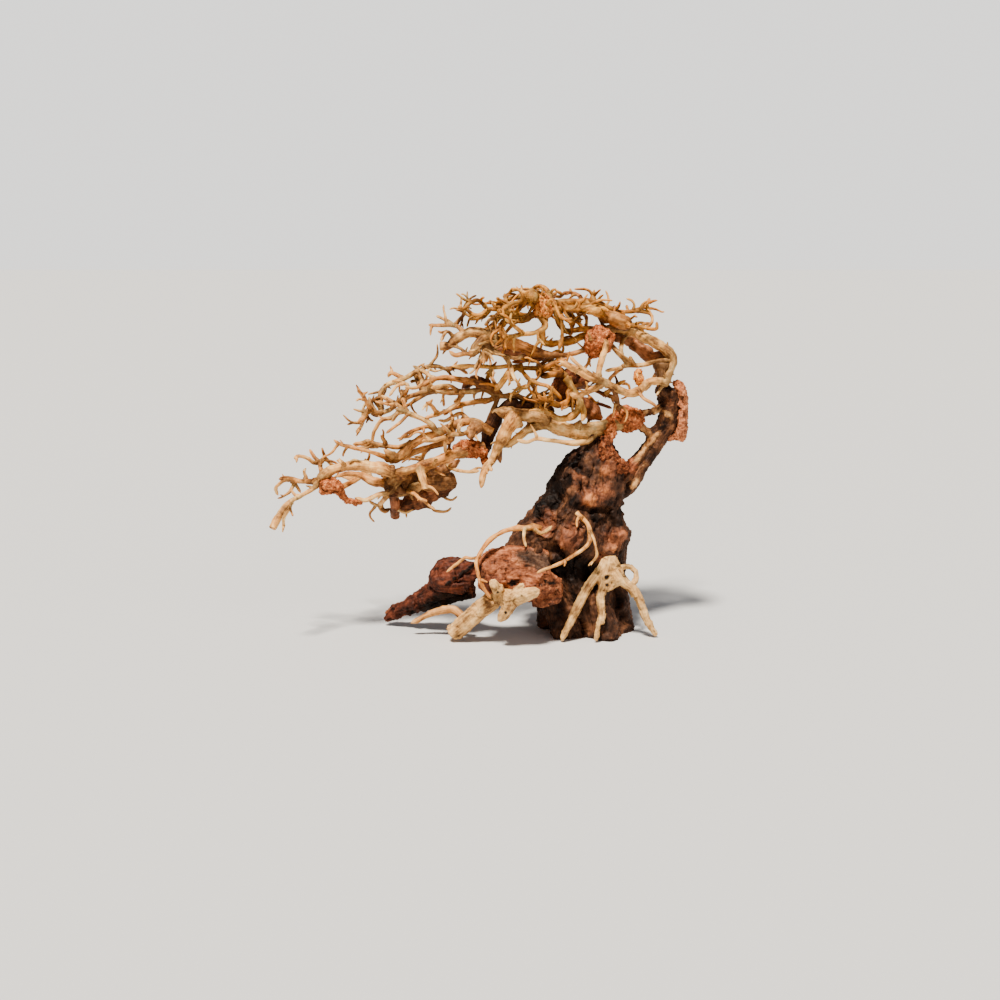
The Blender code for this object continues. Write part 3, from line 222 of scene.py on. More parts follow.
CROWN_LEFT = """
main 540,311 527,317 515,314 507,315 500,310 493,309 484,308 | 7 7 6 5 4 | -4 -12 -16
arch 538,305 528,300 524,297 517,297 510,299 503,303 494,307 | 5 5 4 | 8 16 16
second 536,307 526,302 518,302 510,304 501,310 | 4 4 | -16 -26
ring 487,308 482,303 477,300 470,303 466,307 471,313 477,315 483,313 487,309 | 4 4 3 3 4 | -16 -22 -22 -16
ring_twig 468,306 463,309 458,306 | 3 3 | -26
outer 490,309 485,316 477,318 470,316 462,312 | 4 3 | -8 -4
tie 500,308 495,304 489,301 | 3 3 | 24
under 530,317 520,320 510,321 498,324 | 5 4 3 | 2 8
basket 541,318 546,326 541,330 534,333 525,334 515,336 503,337 | 5 5 4 | -8 -14 -20
basket_top 530,318 522,322 512,321 503,325 500,331 504,337 | 4 3 | -12 -20
tangle 528,301 521,307 513,306 508,312 501,315 | 4 4 3 | 14 18
tangle_tie 515,314 519,308 524,304 527,298 | 4 3 | -22
tangle_drop 507,314 505,308 504,301 508,296 | 4 3 | 14
side_twig 500,310 496,316 490,320 485,325 | 4 3 | 12
basket_drop 539,331 538,337 540,344 | 3 3 | -12
long_loop 545,320 543,331 543,341 550,344 558,343 570,342 583,336 594,333 | 5 6 7 6 | 6 10 4
tuft 541,304 538,296 532,290 524,291 | 5 4 3 | -6 -10
tuft_spike 532,291 531,297 | 3 3 | -16
tuft_curl 544,303 550,297 546,290 540,286 534,287 | 5 5 4 | 8 10
tuft_chip 534,296 531,291 | 8 7 | 4 | 0.6 | sawn
drop 546,306 552,299 556,308 561,319 | 4 3 | -12 -16
"""

# %% The upper bough and the tangle in the tree's heart
UPPER_BOUGH = """
stem 596,347 585,350 575,353 565,355 556,355 545,354 530,350 518,345 505,341 492,338 482,336 | 5 5 5 8 12
    14 12 9 | 0 -2 -6 -12
antler 497,339 488,336 480,333 471,332 463,335 455,340 449,346 440,346 | 10 11 10 9 9 9 | -15 -18 -20 | 1
    | sawn
fork 492,338 484,339 478,345 474,352 471,357 | 9 10 9 8 | -20 -20
fork_link 474,354 463,354 455,355 449,351 | 5 4 | -26
loop 487,341 484,352 479,362 | 5 4 | -4
under 487,342 490,349 497,353 505,356 515,358 524,355 | 5 4 4 | -16 -10
left_twig 466,334 461,330 457,326 450,325 440,325 429,325 | 5 4 4 | -4 4
left_spray 456,326 452,324 446,320 437,316 | 4 3 | 12
left_spur 455,339 448,331 444,335 441,341 | 4 3 | -28
rising_twig 455,325 460,319 464,315 463,311 456,310 | 4 3 | -10 -14
far_limb 545,355 530,357 515,354 500,349 488,346 478,348 | 8 9 8 7 4 | 10 18 22
"""

CENTRE_BOUGH = """
shelf 566,376 555,370 545,369 530,368 520,368 510,366 500,367 490,367 475,366 465,366 452,366 | 6 5 4 4 4
    | 0 2 0 -4
orange_arm 524,368 515,368 508,374 500,385 495,391 | 7 6 6 | -4 -3
prong 484,366 491,368 489,374 486,382 | 4 4 | 6
brace 535,369 545,362 552,356 560,352 | 4 4 | 12 14
second_brace 538,376 541,373 547,367 555,363 566,359 | 4 4 | -12 -14
short_arm 562,372 550,375 541,377 | 7 6 | -8
slide 520,369 527,377 532,381 540,384 548,386 555,392 562,399 | 4 4 4 | -14 -18 -12
rung 531,381 525,388 517,385 | 3 3 | -24
bowl 572,388 580,402 577,412 570,417 562,419 556,417 548,410 | 6 7 7 5 | -8 -12 -16
small_bowl 568,392 568,400 563,404 556,406 549,401 | 5 4 | -18 -24
peg 581,405 584,411 582,421 | 5 5 | -18
thread 560,406 552,404 545,400 536,400 | 3 3 | -30
low_thread 556,416 552,415 545,411 538,404 | 3 3 | -26
olive_block 576,399 585,406 593,412 602,419 | 9 16 18 12 | 8 6
dark_twig 586,400 600,404 612,408 | 4 3 | 14 14
back_arm 560,372 552,362 540,356 527,360 512,362 | 6 5 4 | 16 24 28
back_fan 576,386 590,388 604,394 616,398 | 5 4 | 20 26
"""

# %% The middle bough and the ledge under it
MIDDLE_BOUGH = """
rail 556,396 542,401 527,400 517,396 510,396 497,395 485,389 475,391 465,392 450,392 440,391 432,390
    425,392 415,395 408,397 400,402 392,408 385,412 378,415 371,414 | 7 6 6 6 6 5 5 4.5 | 4 4 6 8 8
tip 384,413 376,413 370,410 366,413 363,419 357,422 | 5 6 5 | 2
loop 420,376 417,371 408,377 400,380 392,383 385,386 381,392 380,400 383,411 | 5 5 5 5 | 16 18 10
knot 424,390 420,380 421,372 | 6 9 8 | 18 22
loop_leg 383,410 378,405 373,399 | 5 4 | 12
ear 404,379 397,375 391,373 388,377 | 4 4 | 26
nose 375,412 371,403 369,397 | 4 3 | 16
arc 391,409 397,402 403,396 406,391 | 4 3 | -4
small_arc 404,396 408,386 402,384 395,388 389,396 | 4 3 | -10 -14
roof 420,372 425,367 433,366 440,367 448,370 456,368 | 5 4 4 | 28 30
upper_rail 496,391 485,386 474,382 460,380 450,378 440,378 430,381 421,386 | 6 8 6 5 4.5 | 0 -4
dark_end 484,386 476,380 468,384 462,388 | 8 9 6 | 14
whisker 430,388 425,383 418,387 412,388 405,387 | 4 4 3 | -12
inner_rail 458,391 450,386 440,386 431,388 | 4 4 | -16
under_rail 438,391 428,393 420,398 410,404 399,410 | 4 3 | 20
branch 463,392 460,397 457,403 449,409 440,413 432,416 424,419 | 5 4 4 | -2 -8
lower_branch 494,398 485,401 478,401 470,403 462,405 452,409 444,415 | 6 5 4 | 12 16
branch_toe 450,410 453,419 449,425 | 3 3 | -14
needle 449,392 443,395 444,406 | 3 3 | 18
drop 498,395 495,405 492,412 489,420 488,430 | 5 5 5 | 0 0
heel 437,413 432,406 426,402 | 4 3 | -18
"""

LEDGE_BOUGH = """
ledge 492,432 485,428 478,423 470,421 460,423 450,427 440,432 430,435 420,440 412,445 405,452 397,458
    388,460 | 9 9 8 8 8 8 9 10 | -4 -6 -10 -14
lower_layer 452,432 450,440 430,447 415,452 400,458 390,463 | 7 6 6 | 0 -4 -10
flare 397,458 389,453 384,450 | 8 6 | -20
long_twig 390,459 380,455 370,452 360,449 350,447 340,444 334,440 | 5 4 4 3 | -24 -26
left_twig 414,443 405,446 395,447 385,446 375,444 368,441 362,443 353,444 | 6 5 4 | -4 2
twig_stub 386,445 384,440 381,435 | 4 3 | -8
climber 442,430 437,431 432,425 425,420 418,417 410,414 402,411 395,409 | 6 5 5 4 | -14 -18 -24
curl 400,411 391,418 384,419 379,423 375,430 373,436 372,442 | 4 4 3 | -26 -18
curl_twig 408,414 400,423 393,428 386,433 | 3 3 | -32
stroke 436,432 428,427 415,430 405,435 399,441 | 4 3 | -22 -28
bridge 473,424 468,431 463,434 455,434 447,435 445,442 446,454 | 5 4 4 | -16 -16 -12
back_twig 470,422 463,414 454,416 446,421 438,420 | 5 4 3 | 10 18 20
knob 478,425 473,430 470,438 | 8 12 7 | -14
"""

# %% The low bough and the limb that crosses the trunk's neck
LOW_BOUGH = """
rail 484,447 470,450 460,453 450,456 440,460 430,464 420,467 405,471 395,473 386,475 | 10 11 11 10 9 8 6 |
    -10 -16 -18
mast 397,473 389,471 380,468 370,467 360,466 350,466 340,468 330,471 323,476 316,482 | 8 13 12 10 9 9 10 7
    | -20 -26 -30
down_stub 420,467 422,475 424,482 425,489 | 8 7 6 | -22 -24 | 1 | sawn
under_mast 406,472 392,481 385,483 375,482 368,479 360,475 352,474 345,474 337,477 | 10 12 9 5 4 | -8 -4
    -10
cut_tip 318,481 314,488 302,495 293,500 285,507 280,514 276,522 273,528 | 5 4 5 6 7 | -34 -44 -52 | 1 |
    sawn
far_twig 318,480 312,482 305,481 299,481 292,479 286,478 279,479 | 5 5 4 | -22 -14
far_curl 290,479 283,481 279,484 276,487 276,491 278,495 | 4 3 | -8
tip_spur 291,480 294,483 298,488 301,493 | 4 3 | -16
thorn 305,481 306,476 304,472 306,468 | 4 3 | -24
riser 323,476 321,470 320,465 319,461 315,458 312,453 310,449 | 4 4 3 | -20 -14
riser_twig 318,462 314,463 309,459 303,457 298,456 294,458 | 4 3 | -30
riser_fork 320,463 325,458 329,462 336,467 | 4 3 | -12
spur 345,467 342,462 337,460 | 4 3 | -34
lower_stick 398,480 392,491 388,493 380,494 372,497 365,500 355,498 | 6 5 4 | -16 -20
lower_back 396,486 402,491 410,489 417,485 | 6 5 | 8
hanging_stub 387,494 384,500 380,505 384,511 390,508 | 6 5 5 4 | 2 4
hanging_block 393,492 395,504 395,516 | 7 8 8 | 10 | 1 | sawn
floor_twig 382,506 375,505 369,501 | 4 3 | 6
wedge 393,488 403,481 416,480 430,481 442,482 452,481 | 9 13 14 15 15 12 | 4 8 10 | 1 | sawn
wedge_toe 446,486 434,490 424,497 413,502 402,504 397,500 | 10 14 15 13 9 | 12 14 12
wedge_rib 393,494 404,492 415,488 425,486 | 7 9 8 | 2 4
wedge_twig 423,497 425,505 435,509 | 5 3 | 8
upper_chip 434,472 443,469 452,465 460,460 | 6 10 9 | 2 4
back_mast 385,474 376,470 366,472 355,480 344,486 333,488 | 7 6 5 | 6 6 -6
thin_link 447,465 452,469 460,471 470,472 479,471 | 3 3 | -14 -21
"""

CROSS_LIMB = """
limb 624,423 608,426 600,428 590,431 580,432 570,431 560,428 550,423 540,424 528,427 | 12 14 15 14 12 10 |
    -2 -6 -8 | 1 | sawn
bump 577,430 580,420 | 9 6 | -8
bridge 550,423 542,418 533,416 523,415 513,414 504,412 495,410 | 10 13 13 9 | -14 -12
drop 521,415 514,420 508,428 504,436 500,444 497,450 494,457 488,465 484,472 482,480 481,488 | 14 13 10 8
    7 3 | -14 -18 -24
drop_spur 488,465 492,471 | 4 3 | -26
dark_stub 498,448 500,463 | 6 5 | -12
left_arm 535,426 526,431 519,436 512,442 503,447 | 9 7 6 | -10 -15
under_arm 597,430 590,440 580,443 570,443 560,442 547,440 537,439 527,442 517,440 | 6 5 4 4 | -14 -18 -14
"""

# %% The heart pieces and the roots round the stump
CORE_BRANCH = """
core 500,409 495,419 490,430 487,442 484,454 485,466 | 9 15 15 12 8 6 | 2 3 -2
arm 499,410 512,405 526,405 541,408 553,411 | 10 14 13 12 8 | 4 6 6
"""

HEART_STUB = """
knot 576,368 570,376 562,384 556,392 552,398 | 9 17 20 15 8 | 4 4 2
lobe 562,384 572,384 582,380 590,376 | 16 17 14 9 | 8 9
low_lobe 556,392 562,399 570,403 579,404 | 12 12 10 8 | 8 8
"""

LEFT_LOG = """
log 474,590 458,590 440,593 425,599 410,606 397,612 386,620 | 13 20 23 21 17 14 8 | -11 -4 4 9
split 418,603 404,603 392,609 386,613 | 8 7 4 | 9 13
"""

FRONT_ROOT = """
stub 503,592 494,599 485,606 475,614 465,623 453,633 | 17 18 18 18 | -38 -34 -30 | 1 | sawn
fork 498,597 508,598 518,596 528,594 538,591 | 15 18 17 13 9 | -50 -53 -52
fork_toe 512,598 509,606 505,613 500,620 | 15 13 11 8 | -51 -47
fork_horn 501,595 496,588 492,581 | 13 10 7 | -53 -53
fork_knob 514,597 518,590 522,585 | 12 9 6 | -53
"""

SIDE_ROOT = "root 470,620 462,616 455,610 447,609 438,611 428,615 420,619 411,623 | 9 8 8 6 4 | -22 -18 -16"

RIGHT_FOOT = """
left_toe 612,545 609,556 603,567 596,576 588,587 580,602 571,620 562,639 | 7 11 10 9 9 8 5 | -21 -28 -31
    -33
middle_toe 609,558 607,570 604,583 601,598 602,615 598,630 596,640 | 10 10 9 9 7 5 | -30 -34
right_toe 610,557 616,570 623,581 633,590 641,604 647,620 656,635 | 12 12 10 9 8 5 | -22 -22 -22
cone 609,552 609,562 609,573 608,584 | 8 17 25 30 | -18 -20 -24 | 0.6
ring 618,572 622,567 630,567 636,573 635,581 630,587 | 6 6 5 6 | -12 -14 -19
ridge 612,556 616,549 618,540 | 6 4 3 | -17
"""

CURL_ROOT_LEFT = """
curl 541,528 535,527 525,528 516,528 505,531 497,535 490,540 484,547 479,555 476,562 477,570 479,578
    482,585 487,593 491,599 | 7 7 6 5 5 4.5 4.5 | -27 -26 -28 -36 -45 -50 -50 -49
twig 478,558 470,558 466,557 460,561 454,566 447,572 | 4 4 3 | -36 -34
thorn 525,528 524,538 526,547 | 4 3 | -32
upper_thorn 534,529 541,533 548,530 552,526 | 5 4 | -31
"""

CURL_ROOT_FRONT = """
curl 577,513 583,519 588,525 590,533 590,540 587,546 580,552 571,557 562,562 552,567 544,570 537,573 | 6 6
    5 4.5 4 3 | -30 -38 -44 -48 -50
hook 583,519 580,516 577,521 577,527 | 4 3 | -36
second_curl 590,531 594,540 596,548 597,555 593,561 588,566 | 4 3 | -42 -40
"""

# %% The lumps of glue
GLUE_SHOULDER = "lump 606,436 606,449 610,460 619,467 629,468 | 9 14 17 15 9 | -13 -12 -10 | 0.6"
GLUE_NECK = """
lump 615,422 625,419 634,418 642,414 | 13 22 19 10 | 1 3
drip 612,424 610,434 608,444 | 12 9 6 | -7 -10
"""
GLUE_ELBOW = "lump 640,370 638,377 641,384 | 8 13 9 | -5 -6"
GLUE_TOP = "lump 606,330 599,341 591,354 | 19 28 17 | -5 -5"
GLUE_CROWN = "lump 541,295 542,304 543,317 | 12 17 18 | -2 -2"
GLUE_LOW = """
lump 456,452 466,448 477,450 486,454 | 12 19 18 9 | -6 -5
tail 478,452 484,458 485,466 | 10 7 5 | -6
"""
GLUE_TIP = """
lump 320,488 331,486 342,489 | 12 18 11 | -29 -28
trail 338,490 346,499 354,503 362,502 | 9 6 5 | -24 -22
"""

# %% [markdown]
# ### From a route to a limb
# A limb starts on the nearest stick before it, as a graft does, so its root is always inside other wood. A
# smooth curve runs through the route's points. Two rules add what no single view shows: a few twigs that grow
# towards the back, and later many fine ones.

# %% How a route becomes a limb
def read_route(text):
    """The columns and rows of a route written as text."""
    return np.array([[float(number) for number in point.split(",")] for point in text.split()])


def arc_lengths(points):
    """How far along a run of points each of them lies."""
    steps = np.linalg.norm(np.diff(points, axis=0), axis=1)
    return np.concatenate([[0.0], np.cumsum(steps)])


def smooth(points, step):
    """A smooth curve through the points, read at even steps."""
    before = 2 * points[0] - points[1]
    after = 2 * points[-1] - points[-2]
    ends = np.vstack([before, points, after])
    pieces = []
    for a, b, c, d in zip(ends, ends[1:], ends[2:], ends[3:]):
        for t in np.linspace(0, 1, SPLINE_READINGS, endpoint=False):
            pieces.append(0.5 * (2 * b + (c - a) * t + (2 * a - 5 * b + 4 * c - d) * t**2
                                 + (3 * b - a - 3 * c + d) * t**3))
    curve = np.array([*pieces, points[-1]])
    along = arc_lengths(curve)
    even = np.linspace(0, along[-1], max(3, round(along[-1] / step) + 1))
    return np.stack([np.interp(even, along, curve[:, k]) for k in range(curve.shape[1])], axis=1)


def nearest(limbs, point):
    """The limb that passes nearest to a point of the picture, and where on it."""
    best, found, joint = math.inf, None, 0
    for limb in limbs:
        distances = np.linalg.norm(limb.flat - point, axis=1)
        if distances.min() < best:
            best, found, joint = distances.min(), limb, int(distances.argmin())
    return found, joint


class Limb:
    """A stick read along its route, root first: flat in columns and rows, depth and radius in metres."""

    def __init__(self, bough, stick, route, earlier, root_depth):
        self.bough, self.stick = bough, stick
        self.parent, self.joint = nearest(earlier, route[0])
        if self.parent:
            root = self.parent.flat[self.joint]
            if np.linalg.norm(root - route[0]) > 1:
                route = np.vstack([root, route])
            root_depth = self.parent.depth[self.joint]
        self.flat = smooth(route, READ_STEP)
        even = np.linspace(0, 1, len(self.flat))
        depths = np.array([root_depth, *(MM * depth for depth in stick.depth)])
        self.depth = np.interp(even, np.linspace(0, 1, len(depths)), depths)
        self.radius = np.interp(even, np.linspace(0, 1, len(stick.thick)), stick.thick) * PIXEL / 2
        self.from_root = arc_lengths(self.flat) * PIXEL

    def places(self):
        """Where the limb's readings lie in space."""
        return place(self.flat[:, 0], self.flat[:, 1], self.depth)


def ahead(angle):
    """One step in a direction of the picture."""
    return np.array([math.cos(angle), math.sin(angle)])


def back_twig(bough, limbs, draw):
    """A short twig that leaves one of the bough's thicker sticks, mostly towards the back."""
    stout = [limb for limb in limbs if limb.radius.mean() > STOUT and len(limb.flat) > LONG_ENOUGH]
    limb = draw.choice(stout)
    start = draw.randint(len(limb.flat) // 4, len(limb.flat) - 3)
    heading = limb.flat[start + 1] - limb.flat[start]
    lean = math.radians(draw.choice((-1, 1)) * draw.uniform(*TWIG_LEAN))
    angle = math.atan2(heading[1], heading[0]) + lean
    points = [limb.flat[start]]
    for _ in range(TWIG_JOINTS):
        point = points[-1] + draw.uniform(*TWIG_JOINT) * ahead(angle)
        points.append(np.maximum(point, (0, CROWN_ROW)))
        angle += draw.uniform(-TWIG_SWERVE, TWIG_SWERVE)
    depth = limb.depth[start] / MM
    away = draw.choice((1, 1, -1)) * draw.uniform(*TWIG_AWAY)  # twice as often to the back
    stick = Stick("", TWIG_THICK, (depth + TWIG_HALFWAY * away, depth + away))
    return Limb(bough, stick, np.array(points), [limb], 0)


def grow(boughs):
    """Every bough's limbs, in their order, each rooted on the nearest one before it."""
    grown = {}
    for name, (root, sticks, twigs) in boughs.items():
        limbs = []
        for stick in read_sticks(sticks).values():
            limbs.append(Limb(name, stick, read_route(stick.route), limbs, root * MM))
        draw = random.Random(name)
        grown[name] = limbs + [back_twig(name, limbs, draw) for _ in range(twigs)]
    return grown


# %% [markdown]
# ### Bending sticks clear
# Where two sticks cross in the picture, one has to pass in front. Each round finds the pairs that are too
# close, and pushes both apart in depth, the thinner one further, until all of them clear.

# %% How crossing sticks are bent clear
def crossing_pairs(limbs):
    """Readings of different limbs that pass each other in the picture, and the distance that they need."""
    flat = np.concatenate([limb.flat for limb in limbs]) * PIXEL
    radius = np.concatenate([limb.radius for limb in limbs])
    owner = np.concatenate([np.full(len(limb.flat), k) for k, limb in enumerate(limbs)])
    from_root = np.concatenate([limb.from_root for limb in limbs])
    names = sorted({limb.bough for limb in limbs})
    bough = np.array([names.index(limb.bough) for limb in limbs])[owner]
    first, second, need, apart = [], [], [], []
    for i in range(len(flat)):
        distance = np.linalg.norm(flat[i + 1:] - flat[i], axis=1)
        wanted = radius[i + 1:] + radius[i] + CLEAR
        kin = bough[i + 1:] == bough[i]
        free = np.clip(np.minimum(from_root[i + 1:], from_root[i]) / ROOT_FREE, 0, 1)
        wanted = np.where(kin, wanted * free, wanted)
        close = np.flatnonzero((distance < wanted) & (owner[i + 1:] != owner[i]))
        first.extend([i] * len(close))
        second.extend(close + i + 1)
        need.extend(wanted[close])
        apart.extend(distance[close])
    depth_need = np.sqrt(np.square(need) - np.square(apart))
    return np.array(first), np.array(second), depth_need, radius


def spread_along(values):
    """Values along a limb, softened so that a bend has no kink."""
    reach = np.arange(-SOFTEN_REACH, SOFTEN_REACH + 1)
    weights = np.exp(-0.5 * (reach / SOFTEN) ** 2)
    padded = np.pad(values, SOFTEN_REACH, mode="edge")
    return np.convolve(padded, weights / weights.sum(), mode="valid")


def bend_clear(limbs, fixed):
    """Bends limbs in depth until those that cross in the picture pass in front of or behind each other."""
    first, second, need, radius = crossing_pairs(limbs)
    starts = np.cumsum([0] + [len(limb.flat) for limb in limbs])
    depth = np.concatenate([limb.depth for limb in limbs])
    share = radius[second] ** 2 / (radius[first] ** 2 + radius[second] ** 2)
    for _ in range(BEND_ROUNDS):
        behind = depth[second] - depth[first]
        short = need - np.abs(behind)
        side = np.where(behind >= 0, 1.0, -1.0)
        push = np.where(short > 0, short * side, 0.0)
        total = np.zeros(len(depth))
        count = np.zeros(len(depth))
        np.add.at(total, first, -push * share)
        np.add.at(total, second, push * (1 - share))
        np.add.at(count, first, short > 0)
        np.add.at(count, second, short > 0)
        total /= np.maximum(count, 1)
        moved = {}
        for limb, start, stop in zip(limbs, starts, starts[1:]):
            own = spread_along(total[start:stop])
            if limb.bough in fixed:
                own = own * 0
            if limb.parent:
                own = own * np.clip(limb.from_root / ROOT_FREE, 0, 1) + moved[limb.parent][limb.joint]
            moved[limb] = own
            depth[start:stop] += own
    for limb, start, stop in zip(limbs, starts, starts[1:]):
        limb.depth = depth[start:stop]


# %% [markdown]
# ### Growing every piece
# The boughs are grown first and bent clear together. The heart, the glue and the roots are pressed on
# afterwards, so they keep the depths that they are given.

# %% Grow the boughs, roots and lumps
# Each has the depth of its first stick's root in millimetres, its sticks, and how many back twigs it gets.
# The order is that of the solids, because every later bough bends round the earlier ones.
CANOPY = {
    "elbow_limb": (0, ELBOW_LIMB, 0),
    "bark_plate": (9, BARK_PLATE, 0),
    "cross_limb": (-2, CROSS_LIMB, 1),
    "top_bough": (6, TOP_BOUGH, 4),
    "upper_bough": (0, UPPER_BOUGH, 5),
    "low_bough": (-4, LOW_BOUGH, 6),
    "ledge_bough": (-2, LEDGE_BOUGH, 5),
    "middle_bough": (0, MIDDLE_BOUGH, 6),
    "centre_bough": (-2, CENTRE_BOUGH, 4),
    "crown_right": (0, CROWN_RIGHT, 4),
    "crown_left": (-2, CROWN_LEFT, 7),
}
HEART = {"core_branch": (2, CORE_BRANCH, 0), "heart_stub": (4, HEART_STUB, 0)}
LUMPS = {
    "glue_shoulder": (-11, GLUE_SHOULDER, 0),
    "glue_neck": (0, GLUE_NECK, 0),
    "glue_elbow": (-3, GLUE_ELBOW, 0),
    "glue_top": (-4, GLUE_TOP, 0),
    "glue_crown": (-2, GLUE_CROWN, 0),
    "glue_low": (-4, GLUE_LOW, 0),
    "glue_tip": (-28, GLUE_TIP, 0),
}
ROOTS = {
    "left_log": (-14, LEFT_LOG, 0),
    "front_root": (-38, FRONT_ROOT, 0),
    "side_root": (-24, SIDE_ROOT, 0),
    "right_foot": (-17, RIGHT_FOOT, 0),
    "curl_root_left": (-24, CURL_ROOT_LEFT, 0),
    "curl_root_front": (-23, CURL_ROOT_FRONT, 0),
}
STAYS_PUT = ("elbow_limb", "bark_plate")  # everything else in the canopy bends round them

limbs_of = grow(CANOPY)
bend_clear([limb for limbs in limbs_of.values() for limb in limbs], STAYS_PUT)
limbs_of.update(grow({**HEART, **LUMPS, **ROOTS}))

# Sticks whose girth differs from their solids', as a share of it. No name stands for all of a piece's sticks.
GIRTH_SHARES = {
    "curl_root_left": {"": 0.82},
    "curl_root_front": {"": 0.82},
    "low_bough": {"wedge": 1.4, "wedge_toe": 1.35, "hanging_block": 1.15},
    "top_bough": {"arch": 1.2, "strut": 2.3, "swan": 1.1},
    "cross_limb": {"limb": 1.12, "drop": 1.1},
}
STICKS = {node: list(read_sticks(sticks)) for node, (_, sticks, _) in {**CANOPY, **ROOTS}.items()}
for node, shares in GIRTH_SHARES.items():
    for stick, limb in zip(STICKS[node], limbs_of[node]):
        limb.radius = limb.radius * shares.get(stick, shares.get("", 1.0))
print(sum(len(limbs) for limbs in limbs_of.values()), "sticks in", len(limbs_of), "pieces")

# %% [markdown]
# ### Fine twigs
# The thinnest twigs are what makes the outline feathery. They carry nothing, so they are show only: each
# leaves a stick at a random spot, leans off it and curls as it goes.

# %% Add the fine twigs
FINE_TWIGS = {"crown_left": 60, "crown_right": 44, "centre_bough": 40, "middle_bough": 30, "upper_bough": 22,
              "low_bough": 26, "ledge_bough": 20, "top_bough": 20, "cross_limb": 5}
FINE_THICK = np.array((3.2, 2.6, 1.7))  # pixels, root to tip
FINE_SHARE = 0.6  # of its stick's radius at most, at the root
FINE_JOINTS = (2, 5)
FINE_JOINT = (3, 6.5)  # pixels between its bends
FINE_LEAN = (25, 75)  # degrees off its stick
FINE_CURL = 0.55  # radians that each bend adds the same way
FINE_SWERVE = 0.5
FINE_AWAY = 7.0  # millimetres that it reaches in depth, either way
FLAT_LIMITS = ((275, 289), (685, 640))  # the columns and rows that it keeps inside
DEPTH_LIMITS = (-50, 42)


def fine_twig(node, limbs, draw):
    """A thin twig that leaves any stick of its bough and curls as it goes."""
    limb = draw.choice(limbs)
    start = draw.randrange(2, len(limb.flat) - 1)
    heading = limb.flat[start] - limb.flat[start - 1]
    lean = draw.choice((-1, 1)) * math.radians(draw.uniform(*FINE_LEAN))
    angle = math.atan2(heading[1], heading[0]) + lean
    curl = draw.uniform(-FINE_CURL, FINE_CURL)
    points = [limb.flat[start]]
    for _ in range(draw.randint(*FINE_JOINTS)):
        point = points[-1] + draw.uniform(*FINE_JOINT) * ahead(angle)
        points.append(np.clip(point, *FLAT_LIMITS))
        angle += curl + draw.uniform(-FINE_SWERVE, FINE_SWERVE)
    depth = limb.depth[start] / MM
    ends = np.clip(depth + draw.uniform(-FINE_AWAY, FINE_AWAY) * np.array((0.5, 1.0)), *DEPTH_LIMITS)
    thick = FINE_THICK * min(1.0, FINE_SHARE * limb.radius[start] / PIXEL)
    return Limb(node, Stick("", tuple(thick), tuple(ends)), np.array(points), [limb], 0)


for node, count in FINE_TWIGS.items():
    draw = random.Random("fine twigs of " + node)
    carriers = [limb for limb in limbs_of[node] if len(limb.flat) > 4]
    limbs_of[node] = limbs_of[node] + [fine_twig(node, carriers, draw) for _ in range(count)]
print(sum(FINE_TWIGS.values()), "fine twigs added")

# %% [markdown]
# ### Crowding
# Handled wood darkens where fingers and rinsing don't reach, and the inside of a tangle lies in shade. So a stick
# deep in the tangle is painted browner than one that stands free, partly dirt and partly painted shade, and each
# limb is given a number for how much wood is close round it.

# %% How crowded each stick is
CROWD_REACH = 4.0 * MM  # how near other wood has to pass to count
CROWD_FULL = 3.5


def measure_crowding(pieces):
    """Gives each limb a crowd number along its way: 0 in the open, towards 1 deep in the tangle."""
    limbs = [limb for piece in pieces.values() for limb in piece]
    centres = np.concatenate([limb.places() for limb in limbs])
    girths = np.concatenate([limb.radius for limb in limbs])
    owner = np.concatenate([np.full(len(limb.flat), k) for k, limb in enumerate(limbs)])
    for k, limb in enumerate(limbs):
        others = owner != k
        apart = np.linalg.norm(limb.places()[:, None] - centres[others][None], axis=2) - girths[others]
        touch = np.exp(-np.square(np.maximum(apart, 0) / CROWD_REACH)).sum(axis=1)
        limb.crowd = 1 - np.exp(-touch / CROWD_FULL)


measure_crowding(limbs_of)
print(f"the tangle's mean crowding is {np.mean([limb.crowd.mean() for limb in limbs_of['crown_left']]):.2f}")

# %% [markdown]
# ## Finishes
# Dry wood shows streaks that follow the grain, dirt in the hollows, and a tint of its own for every stick. On top
# of these, painted shade darkens the hollows and the dense tangle. Each is a shader node group, built once and
# placed in every material with its own values. They read what the pieces carry: grain, a point that runs along the
# stick; hollow, how deep a place lies in the relief; tint, one number a stick; and crowd, how much wood is close
# round it.

# %% Helpers that add nodes to a tree
def add(tree, kind, inputs=None, **settings):
    """A new node: its settings, then its inputs by name or number, each a value or another node's output."""
    node = tree.nodes.new(kind)
    for key, value in settings.items():
        setattr(node, key, value)
    for key, value in (inputs or {}).items():
        if isinstance(value, bpy.types.NodeSocket):
            tree.links.new(value, node.inputs[key])
        else:
            node.inputs[key].default_value = value
    return node


def maths(tree, operation, *values):
    """The output of one Math node."""
    return add(tree, "ShaderNodeMath", dict(enumerate(values)), operation=operation).outputs[0]


def scaled(tree, vector, factor):
    """A vector times a number."""
    node = add(tree, "ShaderNodeVectorMath", {0: vector, "Scale": factor}, operation="SCALE")
    return node.outputs[0]


def between(tree, value, low, high, to_low=0.0, to_high=1.0):
    """A value's place between two limits, smoothly held inside them."""
    inputs = {"Value": value, "From Min": low, "From Max": high, "To Min": to_low, "To Max": to_high}
    return add(tree, "ShaderNodeMapRange", inputs, interpolation_type="SMOOTHSTEP").outputs[0]


def mixed(tree, share, first, second, blend="MIX"):
    """One colour mixed with another."""
    node = add(tree, "ShaderNodeMix", {0: share, 6: first, 7: second}, data_type="RGBA", blend_type=blend)
    return node.outputs[2]


def attribute(tree, name, output="Fac"):
    """A shader's reading of an attribute that the mesh carries."""
    return add(tree, "ShaderNodeAttribute", attribute_name=name).outputs[output]


